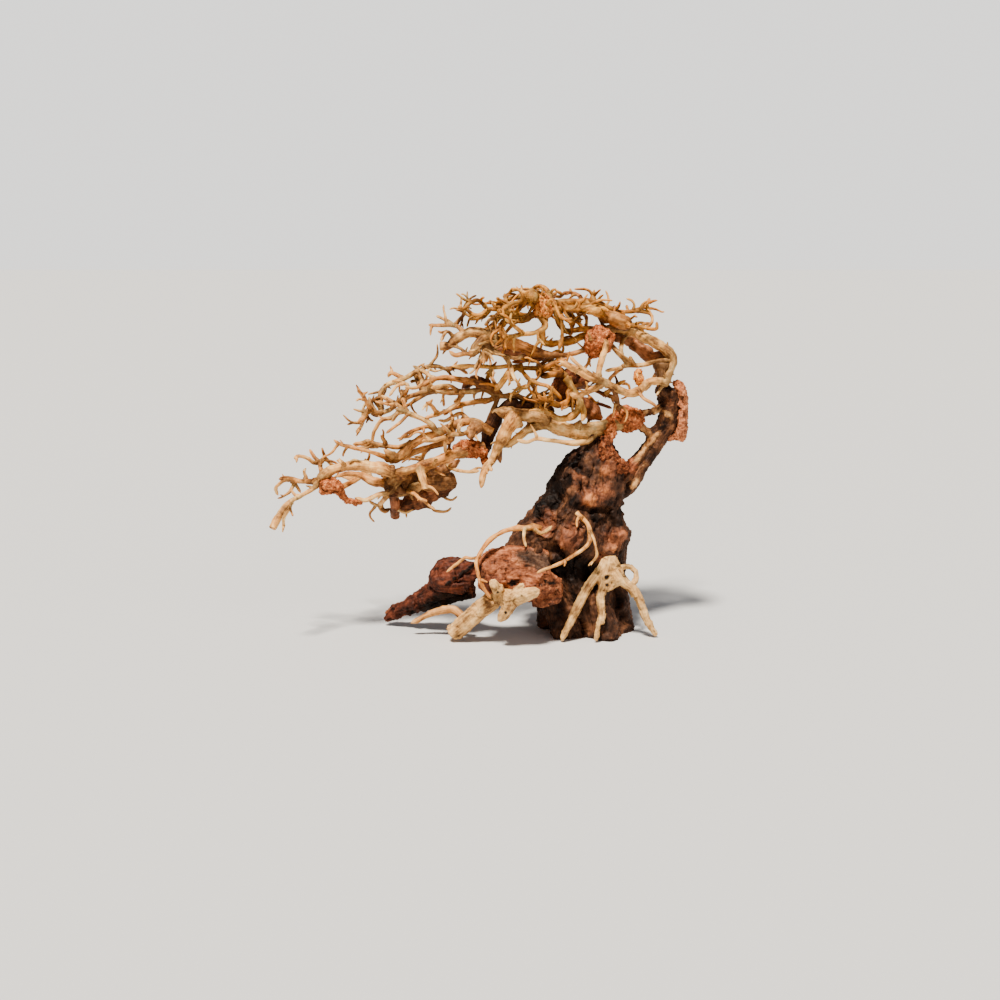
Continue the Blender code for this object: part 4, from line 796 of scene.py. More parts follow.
def on_object(tree):
    """The point of the piece that is being shaded, for patterns that don't follow the grain."""
    return add(tree, "ShaderNodeTexCoord").outputs["Object"]


def noise(tree, where, scale, detail, roughness=0.5):
    """Noise in a shader, mostly near a half."""
    inputs = {"Vector": where, "Scale": scale, "Detail": detail, "Roughness": roughness}
    return add(tree, "ShaderNodeTexNoise", inputs).outputs["Fac"]


def drawn_out(tree, grain, stretch):
    """A point on the grain, squeezed lengthways, so that a pattern read there is drawn out into streaks."""
    squeeze = add(tree, "ShaderNodeCombineXYZ", {0: 1.0, 1: 1.0, 2: maths(tree, "DIVIDE", 1.0, stretch)})
    node = add(tree, "ShaderNodeVectorMath", {0: grain, 1: squeeze.outputs[0]}, operation="MULTIPLY")
    return node.outputs[0]


SOCKET_KINDS = {float: "Float", int: "Int", tuple: "Color"}


def new_group(name, kind, inputs, outputs):
    """An empty group with its two end nodes. A socket is given by its first value or, without one, its kind."""
    tree = bpy.data.node_groups.new(name, kind)
    for way, sockets in (("INPUT", inputs), ("OUTPUT", outputs)):
        for label, value in sockets.items():
            bare = isinstance(value, str)
            socket_kind = "NodeSocket" + (value if bare else SOCKET_KINDS[type(value)])
            socket = tree.interface.new_socket(label, in_out=way, socket_type=socket_kind)
            if not bare:
                socket.default_value = value
    return tree, tree.nodes.new("NodeGroupInput").outputs, tree.nodes.new("NodeGroupOutput").inputs


def counted(tree):
    """A finished group, after printing how large it is."""
    print(f"{tree.name}: {len(tree.nodes)} nodes")
    return tree


# %% [markdown]
# ### Three groups of shader nodes
# The grain group mixes three browns along the fibres and in blotches. The weathering group adds each stick's
# own tint, dirt and painted shade in the hollows, and painted shade where the tangle is dense. The bump group
# gives fibres too fine to model.

# %% The grain group
GREY = (0.5, 0.5, 0.5, 1)
DARK_TO_MIDDLE = (0.44, 0.61)  # where in the noise the dark brown gives way to the middle one
MIDDLE_TO_LIGHT = (0.58, 0.76)

tree, given, wanted = new_group(
    "grain colour", "ShaderNodeTree",
    {"Light": GREY, "Middle": GREY, "Dark": GREY, "Streaks": 900.0, "Stretch": 9.0, "Blotches": 120.0},
    {"Color": "Color", "Height": "Float"})
lengthways = drawn_out(tree, attribute(tree, "grain", "Vector"), given["Stretch"])
streaks = noise(tree, lengthways, given["Streaks"], 5.0, 0.65)
blotches = noise(tree, on_object(tree), given["Blotches"], 4.0, 0.6)
both = maths(tree, "MULTIPLY_ADD", blotches, 0.7, maths(tree, "MULTIPLY", streaks, 0.5))
lower = mixed(tree, between(tree, both, *DARK_TO_MIDDLE), given["Dark"], given["Middle"])
upper = mixed(tree, between(tree, both, *MIDDLE_TO_LIGHT), lower, given["Light"])
tree.links.new(upper, wanted["Color"])
tree.links.new(streaks, wanted["Height"])
grain_group = counted(tree)

# %% The group for weathering and painted shade
HOLLOW_DIRT_AND_SHADE = (0.42, 0.95)  # how deep a hollow is where dirt and painted shade start, and where they are darkest
# how crowded a place is where painted shade, with some dirt, starts and where it is darkest
CROWD_SHADE_RANGE = (0.35, 1.05)
CROWD_SHADE_RAGGED = 1.3  # how ragged the edge of the painted shade in the tangle is
ROUGH_RISE = (0.2, 0.9, 0.55, 0.9)  # over these hollows the roughness rises from the third to the fourth

tree, given, wanted = new_group(
    "weathering and painted shade", "ShaderNodeTree",
    {"Color": GREY, "Dirt And Shade": (0.05, 0.025, 0.012, 1), "Depth": 0.85, "Warmth": (0.8, 0.4, 0.15, 1),
     "Spread": 0.5, "Grime And Shade": 0.62},
    {"Color": "Color", "Roughness": "Float"})
hollow = attribute(tree, "hollow")
tinted = maths(tree, "MULTIPLY", attribute(tree, "tint"), given["Spread"])
warmer = mixed(tree, tinted, given["Color"], given["Warmth"], "MULTIPLY")
sunk = maths(tree, "MULTIPLY", between(tree, hollow, *HOLLOW_DIRT_AND_SHADE), given["Depth"])
ragged_edge_noise = maths(tree, "SUBTRACT", noise(tree, on_object(tree), 380.0, 3.0), 0.5)
crowd = maths(tree, "MULTIPLY_ADD", ragged_edge_noise, CROWD_SHADE_RAGGED, attribute(tree, "crowd"))
crowd_shade = maths(tree, "MULTIPLY", between(tree, crowd, *CROWD_SHADE_RANGE), given["Grime And Shade"])
darkened = maths(tree, "MAXIMUM", sunk, crowd_shade)
tree.links.new(mixed(tree, darkened, warmer, given["Dirt And Shade"]), wanted["Color"])
tree.links.new(between(tree, hollow, *ROUGH_RISE), wanted["Roughness"])
age_and_shade_group = counted(tree)

# %% The fine bump group
tree, given, wanted = new_group("fibres", "ShaderNodeTree", {"Height": 0.5, "Fine": 2500.0, "Depth": 0.25 * MM},
                                {"Normal": "Vector"})
pores = noise(tree, on_object(tree), given["Fine"], 3.0)
both = maths(tree, "MULTIPLY_ADD", pores, 0.5, given["Height"])
bump = add(tree, "ShaderNodeBump", {"Height": both, "Distance": given["Depth"], "Strength": 0.8})
tree.links.new(bump.outputs[0], wanted["Normal"])
bump_group = counted(tree)

# %% [markdown]
# ### The finishes
# Every finish is the same recipe with its own colours, as one stain kit serves a whole workshop. Patches of
# another tone, such as dark wood with painted shade in cracks and recesses, rubbed wood with painted highlights,
# or a painted shadow, have ragged edges, because noise is added before the mask is read.

# %% Make a wood from the three groups
PATCH_RAGGED = 1.2  # how far noise moves a patch's edge
PATCH_EDGE = (0.28, 0.85)  # where a patch's mask starts to show, and where it is full
SHINE = 0.2  # dry wood hardly shines


def rgb(red, green, blue):
    """A colour as the eye names it, each part from 0 to 255, turned into the linear one that shaders use."""
    shares = [part / 255 for part in (red, green, blue)]
    return (*(s / 12.92 if s < 0.04045 else ((s + 0.055) / 1.055) ** 2.4 for s in shares), 1)


def wood(name, light, middle, dark, dirt_and_shade, warmth=(232, 172, 120), streaks=900.0, blotches=120.0, spread=0.5,
         patches=()):
    """A weathered wood. Each patch is the name of an attribute and the three colours that take over there."""
    material = bpy.data.materials.new(name)
    material.use_nodes = True
    tree = material.node_tree
    shader = tree.nodes["Principled BSDF"]

    def grain(*tones):
        look = {label: rgb(*tone) for label, tone in zip(("Light", "Middle", "Dark"), tones)}
        look.update({"Streaks": streaks, "Blotches": blotches})
        return add(tree, "ShaderNodeGroup", look, node_tree=grain_group).outputs

    plain = grain(light, middle, dark)
    colour = plain["Color"]
    torn = maths(tree, "SUBTRACT", noise(tree, on_object(tree), 520.0, 5.0, 0.7), 0.5)
    torn = maths(tree, "MULTIPLY", torn, PATCH_RAGGED)
    for mask, *tones in patches:
        share = attribute(tree, mask)
        if mask != "brown_and_shade":
            share = between(tree, maths(tree, "ADD", share, torn), *PATCH_EDGE)
        colour = mixed(tree, share, colour, grain(*tones)["Color"])
    weather = {"Color": colour, "Dirt And Shade": rgb(*dirt_and_shade), "Warmth": rgb(*warmth), "Spread": spread}
    aged = add(tree, "ShaderNodeGroup", weather, node_tree=age_and_shade_group).outputs
    fibres = add(tree, "ShaderNodeGroup", {"Height": plain["Height"]}, node_tree=bump_group).outputs
    tree.links.new(aged["Color"], shader.inputs["Base Color"])
    tree.links.new(aged["Roughness"], shader.inputs["Roughness"])
    tree.links.new(fibres["Normal"], shader.inputs["Normal"])
    shader.inputs["Specular IOR Level"].default_value = SHINE
    return material


# %% The finishes of this piece
# Brown patches: old bark on some sticks, painted shade on sticks that lie in shadow
BROWN_AND_SHADE_PATCH = ("brown_and_shade", (190, 122, 88), (136, 82, 58), (62, 38, 27))
# Nearly black patches: dark wood, and painted shade in cracks, recesses, slits and under overhangs
DARK_AND_SHADE_PATCH = ("dark_and_shade", (54, 35, 24), (32, 20, 13), (14, 8, 6))
pale_wood = wood("pale_finish", (255, 222, 160), (228, 176, 114), (138, 94, 58), (42, 28, 18),
                 patches=(BROWN_AND_SHADE_PATCH,))
cream_wood = wood("cream_finish", (255, 224, 164), (236, 188, 124), (152, 106, 66), (46, 30, 19),
                  patches=(BROWN_AND_SHADE_PATCH,))
tan_wood = wood("tan_finish", (252, 208, 134), (224, 162, 90), (134, 86, 46), (43, 27, 15), patches=(BROWN_AND_SHADE_PATCH,))
root_wood = wood("root_finish", (242, 204, 150), (210, 166, 112), (134, 96, 62), (42, 28, 19),
                 patches=(BROWN_AND_SHADE_PATCH, DARK_AND_SHADE_PATCH))
# Its worn patch is rubbed wood and painted highlight on the limb's lit top edges
brown_wood = wood("brown_finish", (138, 94, 64), (80, 51, 34), (38, 24, 17), (14, 9, 6),
                  patches=(("crumbly", (186, 112, 74), (134, 76, 48), (70, 40, 27)),
                           ("wear_and_painted_light", (232, 184, 128), (192, 138, 90), (116, 76, 48))))
# Its worn patch is rubbed wood and painted highlights on lit ridges and knuckles
dark_wood = wood("dark_finish", (128, 88, 63), (78, 52, 38), (37, 24, 18), (9, 6, 5), streaks=420.0,
                 blotches=110.0, patches=(("crumbly", (178, 116, 84), (126, 78, 55), (64, 39, 29)),
                                          ("wear_and_painted_light", (214, 146, 100), (170, 106, 68), (98, 58, 38)), DARK_AND_SHADE_PATCH))
# Its worn patch is a painted shadow, cast on the slab's top by the boughs above
red_wood = wood("red_finish", (202, 136, 98), (150, 92, 64), (78, 46, 32), (18, 10, 7), streaks=420.0,
                blotches=170.0, patches=(("wear_and_painted_light", (124, 94, 74), (84, 60, 46), (42, 29, 22)),
                                         ("deep_red", (134, 76, 54), (92, 50, 36), (46, 27, 20)), DARK_AND_SHADE_PATCH))
bark = wood("bark_finish", (226, 158, 116), (188, 120, 84), (118, 70, 48), (44, 26, 18), blotches=320.0)
LUMPY = {"blotches": 420.0, "spread": 0.7}
glue = wood("glue_finish", (234, 162, 110), (194, 120, 78), (118, 68, 42), (48, 27, 17), (210, 140, 90), **LUMPY)
old_glue = wood("old_glue_finish", (192, 122, 82), (140, 84, 56), (78, 45, 31), (30, 18, 12), (190, 120, 80),
                **LUMPY)
fresh_glue = wood("fresh_glue_finish", (250, 202, 132), (230, 160, 94), (168, 98, 58), (78, 42, 24),
                  (226, 128, 92), **LUMPY)
print("finishes:", [material.name for material in bpy.data.materials])

# %% [markdown]
# ## Sticks that follow their routes
# A stick is a tube along a path, so a Geometry Nodes tree makes them all: it turns the routes into curves,
# sweeps a ring along them at the girth that each point carries, and raises lumps and long ridges on the skin.
# The same tree sets the little thorns, where side roots have broken off. One tree with named sizes keeps
# several hundred sticks alike in kind, and a seed keeps each piece different.

# %% [markdown]
# ### Relief
# Weathering cuts soft wood away between hard fibres. So the relief is ridges drawn along the grain, on top of
# wide lumps, with pits where knots and worms have been.

# %% The relief group, shared by sticks and carved pieces
PIT_RIM = (0.1, 0.7, 0.6, -0.4)  # between these distances from a pit's middle the skin falls back to its level
EVEN_SKIN = 0.45  # how hollow a place with no relief counts
LEAST_RELIEF = 1e-6


def noise_at(tree, vector, size, seed, detail=2.0):
    """Noise from -1 to 1 whose bumps are about as wide as size."""
    inputs = {"Vector": vector, "W": seed, "Scale": maths(tree, "DIVIDE", 1.0, size), "Detail": detail,
              "Roughness": 0.6}
    node = add(tree, "ShaderNodeTexNoise", inputs, noise_dimensions="4D")
    return maths(tree, "MULTIPLY_ADD", node.outputs["Fac"], 4.0, -2.0)


def sum_of(tree, first, second, third):
    """Three values added up."""
    return maths(tree, "ADD", maths(tree, "ADD", first, second), third)


tree, given, wanted = new_group(
    "wood relief", "GeometryNodeTree",
    {"Grain": "Vector", "Lump Height": 0.0, "Lump Size": 0.01, "Ridge Height": 0.0, "Ridge Width": 0.002,
     "Stretch": 8.0, "Pit Depth": 0.0, "Pit Size": 0.002, "Seed": 0.0},
    {"Height": "Float", "Hollow": "Float"})
where = add(tree, "GeometryNodeInputPosition").outputs[0]
lumps = noise_at(tree, where, given["Lump Size"], given["Seed"])
lumps = maths(tree, "MULTIPLY", lumps, given["Lump Height"])
lengthways = drawn_out(tree, given["Grain"], given["Stretch"])
waves = noise_at(tree, lengthways, given["Ridge Width"], given["Seed"], 3.0)
crests = maths(tree, "SUBTRACT", 0.6, maths(tree, "ABSOLUTE", waves))
ridges = maths(tree, "MULTIPLY", crests, given["Ridge Height"])
cell_scale = maths(tree, "DIVIDE", 1.0, given["Pit Size"])
cells = add(tree, "ShaderNodeTexVoronoi", {"Vector": where, "W": given["Seed"], "Scale": cell_scale},
            voronoi_dimensions="4D").outputs["Distance"]
pits = maths(tree, "MULTIPLY", between(tree, cells, *PIT_RIM), given["Pit Depth"])
height = sum_of(tree, lumps, ridges, pits)
most = sum_of(tree, given["Lump Height"], given["Ridge Height"], given["Pit Depth"])
share = maths(tree, "DIVIDE", height, maths(tree, "MAXIMUM", most, LEAST_RELIEF))
tree.links.new(height, wanted["Height"])
tree.links.new(maths(tree, "SUBTRACT", EVEN_SKIN, share), wanted["Hollow"])
relief_group = counted(tree)

# %% Helpers for trees that make geometry
def named(tree, name, kind="FLOAT"):
    """A geometry tree's reading of a named attribute."""
    return add(tree, "GeometryNodeInputNamedAttribute", {"Name": name}, data_type=kind).outputs[0]


def store(tree, geometry, name, value, kind="FLOAT", domain="POINT"):
    """Geometry with a named attribute written on it."""
    inputs = {"Geometry": geometry, "Name": name, "Value": value}
    return add(tree, "GeometryNodeStoreNamedAttribute", inputs, data_type=kind, domain=domain).outputs[0]


def drawn_number(tree, low, high, seed):
    """A random number for each element."""
    return add(tree, "FunctionNodeRandomValue", {2: low, 3: high, "Seed": seed}, data_type="FLOAT").outputs[1]


def raised(tree, skin, relief, height):
    """A skin with its hollows noted on it, then pushed out by a height."""
    skin = store(tree, skin, "hollow", relief["Hollow"])
    outward = scaled(tree, add(tree, "GeometryNodeInputNormal").outputs[0], height)
    return add(tree, "GeometryNodeSetPosition", {"Geometry": skin, "Offset": outward}).outputs[0]


def joined(tree, *parts):
    """Several geometries as one."""
    node = add(tree, "GeometryNodeJoinGeometry")
    for part in parts:
        tree.links.new(part, node.inputs[0])
    return node.outputs[0]


def shade_smooth(tree, geometry):
    """Geometry whose faces blend into each other."""
    return add(tree, "GeometryNodeSetShadeSmooth", {0: geometry}).outputs[0]


def finish_tree(tree, geometry, finish, out):
    """Ends a tree: instances made real, and the finish set."""
    real = add(tree, "GeometryNodeRealizeInstances", {0: geometry}).outputs[0]
    done = add(tree, "GeometryNodeSetMaterial", {"Geometry": real, "Material": finish})
    tree.links.new(done.outputs[0], out)
    return counted(tree)


def evaluated_mesh(piece):
    """The mesh that a piece's modifiers make."""
    return bpy.data.meshes.new_from_object(piece.evaluated_get(bpy.context.evaluated_depsgraph_get()))


def grown_mesh(piece, tree, values):
    """Runs a tree on a piece with the named values, and keeps the result as the piece's plain mesh."""
    modifier = piece.modifiers.new(tree.name, "NODES")
    modifier.node_group = tree
    for item in tree.interface.items_tree:
        if item.item_type == "SOCKET" and item.in_out == "INPUT" and item.name in values:
            modifier[item.identifier] = values[item.name]
    mesh = evaluated_mesh(piece)
    piece.modifiers.clear()
    piece.data = mesh


# %% The tree that sweeps sticks
def ring_curve(tree, sides):
    """A ring with a radius of one, which a sweep scales down to a stick's girth."""
    return add(tree, "GeometryNodeCurvePrimitiveCircle", {"Resolution": sides, "Radius": 1.0}).outputs[0]


def along_curve(tree):
    """How far along its curve a point lies, from 0 to 1."""
    return add(tree, "GeometryNodeSplineParameter").outputs["Factor"]


def sweep(tree, path, ring):
    """A closed skin swept along a path, at the girth that each of its points carries."""
    inputs = {"Curve": path, "Profile Curve": ring, "Scale": named(tree, "girth"), "Fill Caps": True}
    return add(tree, "GeometryNodeCurveToMesh", inputs).outputs[0]


tree, given, wanted = new_group(
    "swept sticks", "GeometryNodeTree",
    {"Geometry": "Geometry", "Sides": 10, "Lump Share": 0.12, "Lump Size": 0.006, "Ridge Share": 0.16,
     "Ridge Width": 0.0012, "Thorn Share": 0.05, "Thorn Length": 0.0035, "Seed": 1, "Finish": "Material"},
    {"Geometry": "Geometry"})
paths = add(tree, "GeometryNodeMeshToCurve", {0: given["Geometry"]}).outputs[0]
ring = store(tree, ring_curve(tree, given["Sides"]), "turn", along_curve(tree))
skin = sweep(tree, paths, ring)
girth = named(tree, "girth")
angle = maths(tree, "MULTIPLY", named(tree, "turn"), 2 * math.pi)
across, deep = (maths(tree, "MULTIPLY", maths(tree, way, angle), girth) for way in ("COSINE", "SINE"))
lie = add(tree, "ShaderNodeCombineXYZ", {0: across, 1: deep, 2: named(tree, "along")}).outputs[0]
skin = store(tree, skin, "grain", lie, "FLOAT_VECTOR")
relief = add(tree, "GeometryNodeGroup", {
    "Grain": named(tree, "grain", "FLOAT_VECTOR"), "Lump Size": given["Lump Size"],
    "Ridge Width": given["Ridge Width"], "Seed": given["Seed"],
    "Lump Height": maths(tree, "MULTIPLY", given["Lump Share"], girth),
    "Ridge Height": maths(tree, "MULTIPLY", given["Ridge Share"], girth)}, node_tree=relief_group).outputs
skin = raised(tree, skin, relief, relief["Height"])

# %% [markdown]
# ### Thorns
# A thorn is a little hooked stick of its own, one unit long. Points along the paths are chosen at random, and
# an instance of it is set on each, turned round the stick and scaled. Only stems thick enough get one.

# %% The same tree sets thorns on the sticks
HOOK = {"Start": (0, 0, 0), "Start Handle": (0.4, 0, 0.05), "End Handle": (0.7, 0, 0.3), "End": (1, 0, 0.55)}
THORN_GIRTH = (0.3, 0.09)  # at its root and its tip, as a share of its length
THORN_SIDES = 5
THORN_SCALES = (0.5, 1.4)
LEAST_STEM = 0.4 * MM  # radius of the thinnest stem that carries a thorn
THORN_HOLLOW = 0.3

hook = add(tree, "GeometryNodeCurvePrimitiveBezierSegment", {"Resolution": 4, **HOOK}).outputs[0]
hook = store(tree, hook, "girth", between(tree, along_curve(tree), 0.0, 1.0, *THORN_GIRTH))
thorn = sweep(tree, hook, ring_curve(tree, THORN_SIDES))
where = add(tree, "GeometryNodeInputPosition").outputs[0]
thorn = store(tree, thorn, "grain", scaled(tree, where, given["Thorn Length"]), "FLOAT_VECTOR")
spots = add(tree, "GeometryNodeCurveToPoints", {"Curve": paths}, mode="EVALUATED").outputs
chance = {"Probability": given["Thorn Share"], "Seed": given["Seed"]}
lucky = add(tree, "FunctionNodeRandomValue", chance, data_type="BOOLEAN").outputs[3]
stout = maths(tree, "LESS_THAN", LEAST_STEM, named(tree, "girth"))
chosen = add(tree, "FunctionNodeBooleanMath", {0: lucky, 1: stout}, operation="AND").outputs[0]
angle = drawn_number(tree, 0.0, 2 * math.pi, maths(tree, "ADD", given["Seed"], 5.0))
spin = add(tree, "FunctionNodeAxisAngleToRotation", {"Axis": (0, 0, 1), "Angle": angle}).outputs[0]
facing = add(tree, "FunctionNodeRotateRotation", {"Rotation": spots["Rotation"], "Rotate By": spin},
             rotation_space="LOCAL").outputs[0]
size = maths(tree, "MULTIPLY", given["Thorn Length"], drawn_number(tree, *THORN_SCALES, given["Seed"]))
thorns = add(tree, "GeometryNodeInstanceOnPoints", {
    "Points": spots[0], "Selection": chosen, "Instance": thorn, "Rotation": facing, "Scale": size}).outputs[0]
thorns = add(tree, "GeometryNodeRealizeInstances", {0: thorns}).outputs[0]
thorns = store(tree, thorns, "hollow", THORN_HOLLOW)
soft = shade_smooth(tree, joined(tree, thorns, skin))
stick_tree = finish_tree(tree, soft, given["Finish"], wanted["Geometry"])

# %% [markdown]
# ### Lines and girths
# A grown stick is thicker where it leaves its parent, thins unevenly, and ends in a broken tip. Those are
# small rules on the list of girths, before the sweep.

# %% Shape each stick's line and girth
FINE_STEP = 1.0 * MM  # between two rings of a stick
LEAST_RINGS = 5
FLARE = 0.5  # how much thicker a stick is where it leaves its parent
FLARE_START = 0.6  # of the parent's radius from the root
FLARE_LENGTH = 1.2  # of its own girth
INSIDE_SHARE = 0.85  # inside its parent a stick is no thicker than this share of it
KNOBS = 0.13  # how much its girth comes and goes
KNOB_WAVE, SMALL_KNOB_WAVE, SWAY_WAVE = 5, 2, 6  # rings
WOBBLE = 0.25 * MM
CALM_ROOT = 5 * MM  # over this length the wobble fades in
TIP_SHARE = 0.3  # a broken tip's girth
TIP_LENGTH = 2.4  # of the tip's radius
GRAIN_JUMP = 0.37  # metres along the grain from one stick to the next, so that no two share their streaks


def wander(count, wave, draw):
    """Smooth random numbers from -1 to 1, one a ring, that swing over about so many rings."""
    knots = np.array([draw.uniform(-1, 1) for _ in range(int(count / wave) + 3)])
    return np.interp(np.arange(count) / wave, np.arange(len(knots)), knots)


def stick_line(limb, draw):
    """A limb's line and girths, ring by ring: flared at its root, knobbly, and broken off at its tip."""
    line = np.column_stack([limb.places(), limb.radius, limb.crowd])
    along = arc_lengths(line[:, :3])
    count = max(LEAST_RINGS, round(along[-1] / FINE_STEP) + 1)
    even = np.linspace(0, along[-1], count)
    line = np.stack([np.interp(even, along, line[:, k]) for k in range(5)], axis=1)
    knobs = KNOBS * wander(count, KNOB_WAVE, draw) + 0.5 * KNOBS * wander(count, SMALL_KNOB_WAVE, draw)
    girth = line[:, 3] * (1 + knobs)
    sway = np.stack([wander(count, SWAY_WAVE, draw) for _ in range(3)], axis=1) * WOBBLE
    line[:, :3] += sway * np.clip(even / CALM_ROOT, 0, 1)[:, None]
    if limb.parent:
        inside = limb.parent.radius[limb.joint]
        girth *= 1 + FLARE * np.exp(-((even - FLARE_START * inside) / (FLARE_LENGTH * girth[0])) ** 2)
        girth = np.where(even < inside, np.minimum(girth, INSIDE_SHARE * inside), girth)
    if not limb.stick.sawn:
        to_tip = even[-1] - even
        girth *= np.clip(TIP_SHARE + to_tip / (TIP_LENGTH * limb.radius[-1]), TIP_SHARE, 1)
    return line[:, :3], girth, even, line[:, 4]


def write_on(mesh, label, values, kind="FLOAT"):
    """Writes an attribute on a mesh's points."""
    held = mesh.attributes.get(label) or mesh.attributes.new(label, kind, "POINT")
    held.data.foreach_set("value" if kind == "FLOAT" else "vector", np.asarray(values, np.float32).ravel())


def route_mesh(name, limbs, brown_and_shade):
    """A mesh of edges only: every limb's line, with its girth, the way along it, its tint, crowd, and its brown:
    old bark on some sticks, painted shade on others.
    """
    draw = random.Random("lines of " + name)
    points, edges = [], []
    carried = {"girth": [], "along": [], "tint": [], "crowd": [], "brown_and_shade": []}
    for k, limb in enumerate(limbs):
        line, girth, even, crowd = stick_line(limb, draw)
        start = len(points)
        points.extend(line)
        edges.extend((start + i, start + i + 1) for i in range(len(line) - 1))
        same = [1.0] * len(line)
        values = (girth, even + k * GRAIN_JUMP, np.multiply(draw.random(), same), crowd,
                  np.multiply(brown_and_shade.get(k, 0.0), same))
        for held, own in zip(carried.values(), values):
            held.extend(own)
    mesh = bpy.data.meshes.new(name)
    mesh.from_pydata(points, edges, [])
    for label, values in carried.items():
        write_on(mesh, label, values)
    return mesh


# %% Seat a finished piece
def new_piece(name, mesh):
    """An object at the origin that shows a mesh."""
    piece = bpy.data.objects.new(name, mesh)
    bpy.context.scene.collection.objects.link(piece)
    return piece


def count_triangles(piece):
    """How many triangles a piece has."""
    return sum(len(polygon.vertices) - 2 for polygon in piece.data.polygons)


def stands_for(piece, node):
    """Seats a finished piece: it rides on the one body and replaces its solid."""
    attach(piece, "root")
    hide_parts(node)
    low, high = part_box(node)
    corners = np.array([vertex.co for vertex in piece.data.vertices])
    over = max(np.max(np.array(low) - corners.min(axis=0)), np.max(corners.max(axis=0) - np.array(high)))
    print(f"{piece.name}: {count_triangles(piece)} triangles, at most {over / MM:.1f} mm outside its solid's box")


# %% [markdown]
# ### The boughs
# Twelve pieces are swept by the one tree. The pale boughs get a pale finish, the crown a tan one. A few sticks
# are listed by name as brown: some because old bark still clings to them, and some as painted shade, because they
# lie in shadow behind or under other wood.

# %% Make the boughs
BOUGH_FINISH = {
    "cross_limb": cream_wood, "top_bough": cream_wood, "upper_bough": pale_wood, "low_bough": pale_wood,
    "ledge_bough": pale_wood, "middle_bough": pale_wood, "centre_bough": tan_wood, "crown_right": tan_wood,
    "crown_left": tan_wood, "curl_root_left": pale_wood, "curl_root_front": pale_wood, "side_root": root_wood,
}
# How brown single sticks are, from 0 to 1: old bark, and painted shade on sticks that lie in shadow
BROWN_AND_SHADED_STICKS = {
    "low_bough": {"wedge": 0.6, "wedge_toe": 0.9, "wedge_rib": 0.2, "hanging_block": 0.9, "upper_chip": 0.7,
                  "under_mast": 0.15, "lower_back": 0.6},
    "middle_bough": {"dark_end": 0.9, "knot": 0.5, "upper_rail": 0.25},
    "centre_bough": {"olive_block": 0.9, "dark_twig": 0.9, "back_arm": 0.8, "back_fan": 0.7, "short_arm": 0.3},
    "upper_bough": {"stem": 0.35, "far_limb": 0.9, "under": 0.4, "fork": 0.15, "antler": 0.1},
    "top_bough": {"shadow_limb": 0.85, "dark_drop": 0.7, "strut": 0.6, "cross_tie": 0.3},
    "crown_right": {"block": 0.5, "back_arm": 0.6},
    "cross_limb": {"bridge": 0.25, "dark_stub": 0.8},
    "ledge_bough": {"knob": 0.6, "lower_layer": 0.3},
}
THORNS, ROOT_THORNS = 0.035, 0.02  # the share of rings that carry a thorn

for seed, (node, finish) in enumerate(BOUGH_FINISH.items()):
    brown_and_shade = {STICKS[node].index(stick): share for stick, share in BROWN_AND_SHADED_STICKS.get(node, {}).items()}
    bough = new_piece(node + "_sticks", route_mesh(node, limbs_of[node], brown_and_shade))
    thorns = ROOT_THORNS if "root" in node else THORNS
    grown_mesh(bough, stick_tree, {"Seed": seed, "Finish": finish, "Sides": 10, "Thorn Share": thorns})
    stands_for(bough, node)

# %% [markdown]
# ## Carved wood
# The stump, the limbs and the slabs are too thick for a swept ring: their skin is broken, fluted and pitted.
# A sculptor would start from a rough block, and so does this. Rough closed shapes are fused by a voxel remesh,
# which leaves an even skin without seams. The grain is laid on it along the wood's axis, a few dabs push
# hollows in and knuckles out, and a tree raises the ridges, lumps and pits.

# %% Fuse rough shapes into one skin
TUBE_TIP = (0.75, 0.6)  # the last ring's width, and how far the tip stands out, in radii


def closed_shape(rings, tips):
    """A closed mesh through rings of points, each end closed round its tip or, without one, flat."""
    mesh = bmesh.new()
    loops = [[mesh.verts.new(point) for point in ring] for ring in rings]
    for lower, upper in zip(loops, loops[1:]):
        for k, corner in enumerate(lower):
            after = (k + 1) % len(lower)
            mesh.faces.new((corner, lower[after], upper[after], upper[k]))
    for loop, tip in zip((loops[0], loops[-1]), tips):
        if tip is None:
            mesh.faces.new(loop)
            continue
        peak = mesh.verts.new(tip)
        for k, corner in enumerate(loop):
            mesh.faces.new((corner, loop[(k + 1) % len(loop)], peak))
    bmesh.ops.triangulate(mesh, faces=mesh.faces[:])
    bmesh.ops.recalc_face_normals(mesh, faces=mesh.faces[:])
    return mesh


def unit(direction):
    """A direction, one long."""
    return direction / np.linalg.norm(direction)


def framed(line, across):
    """At each point of a line its heading, and a direction across it that doesn't spin on the way."""
    for k, centre in enumerate(line):
        heading = unit(line[min(k + 1, len(line) - 1)] - line[max(k - 1, 0)])
        across = unit(across - heading * across.dot(heading))
        yield centre, heading, across


def thick_tube(limb, fatter=1.0, sides=14):
    """A limb as a plain closed tube, for fusing."""
    centres, radii = limb.places(), limb.radius * fatter
    turns = np.linspace(0, 2 * math.pi, sides, endpoint=False)
    rings = []
    start = np.cross(centres[1] - centres[0], (0, 1, 0))
    for radius, (centre, heading, across) in zip(radii, framed(centres, start)):
        deep = np.cross(across, heading) * limb.stick.deep
        rings.append(centre + radius * (np.cos(turns)[:, None] * across + np.sin(turns)[:, None] * deep))
    end_tip = None
    if not limb.stick.sawn:
        narrow, out = TUBE_TIP
        rings[-1] = centres[-1] + (rings[-1] - centres[-1]) * narrow
        end_tip = centres[-1] + unit(centres[-1] - centres[-2]) * out * radii[-1]
    for ring in rings:
        ring[:, 2] = np.maximum(ring[:, 2], 0.0)
    return closed_shape(rings, (centres[0], end_tip))


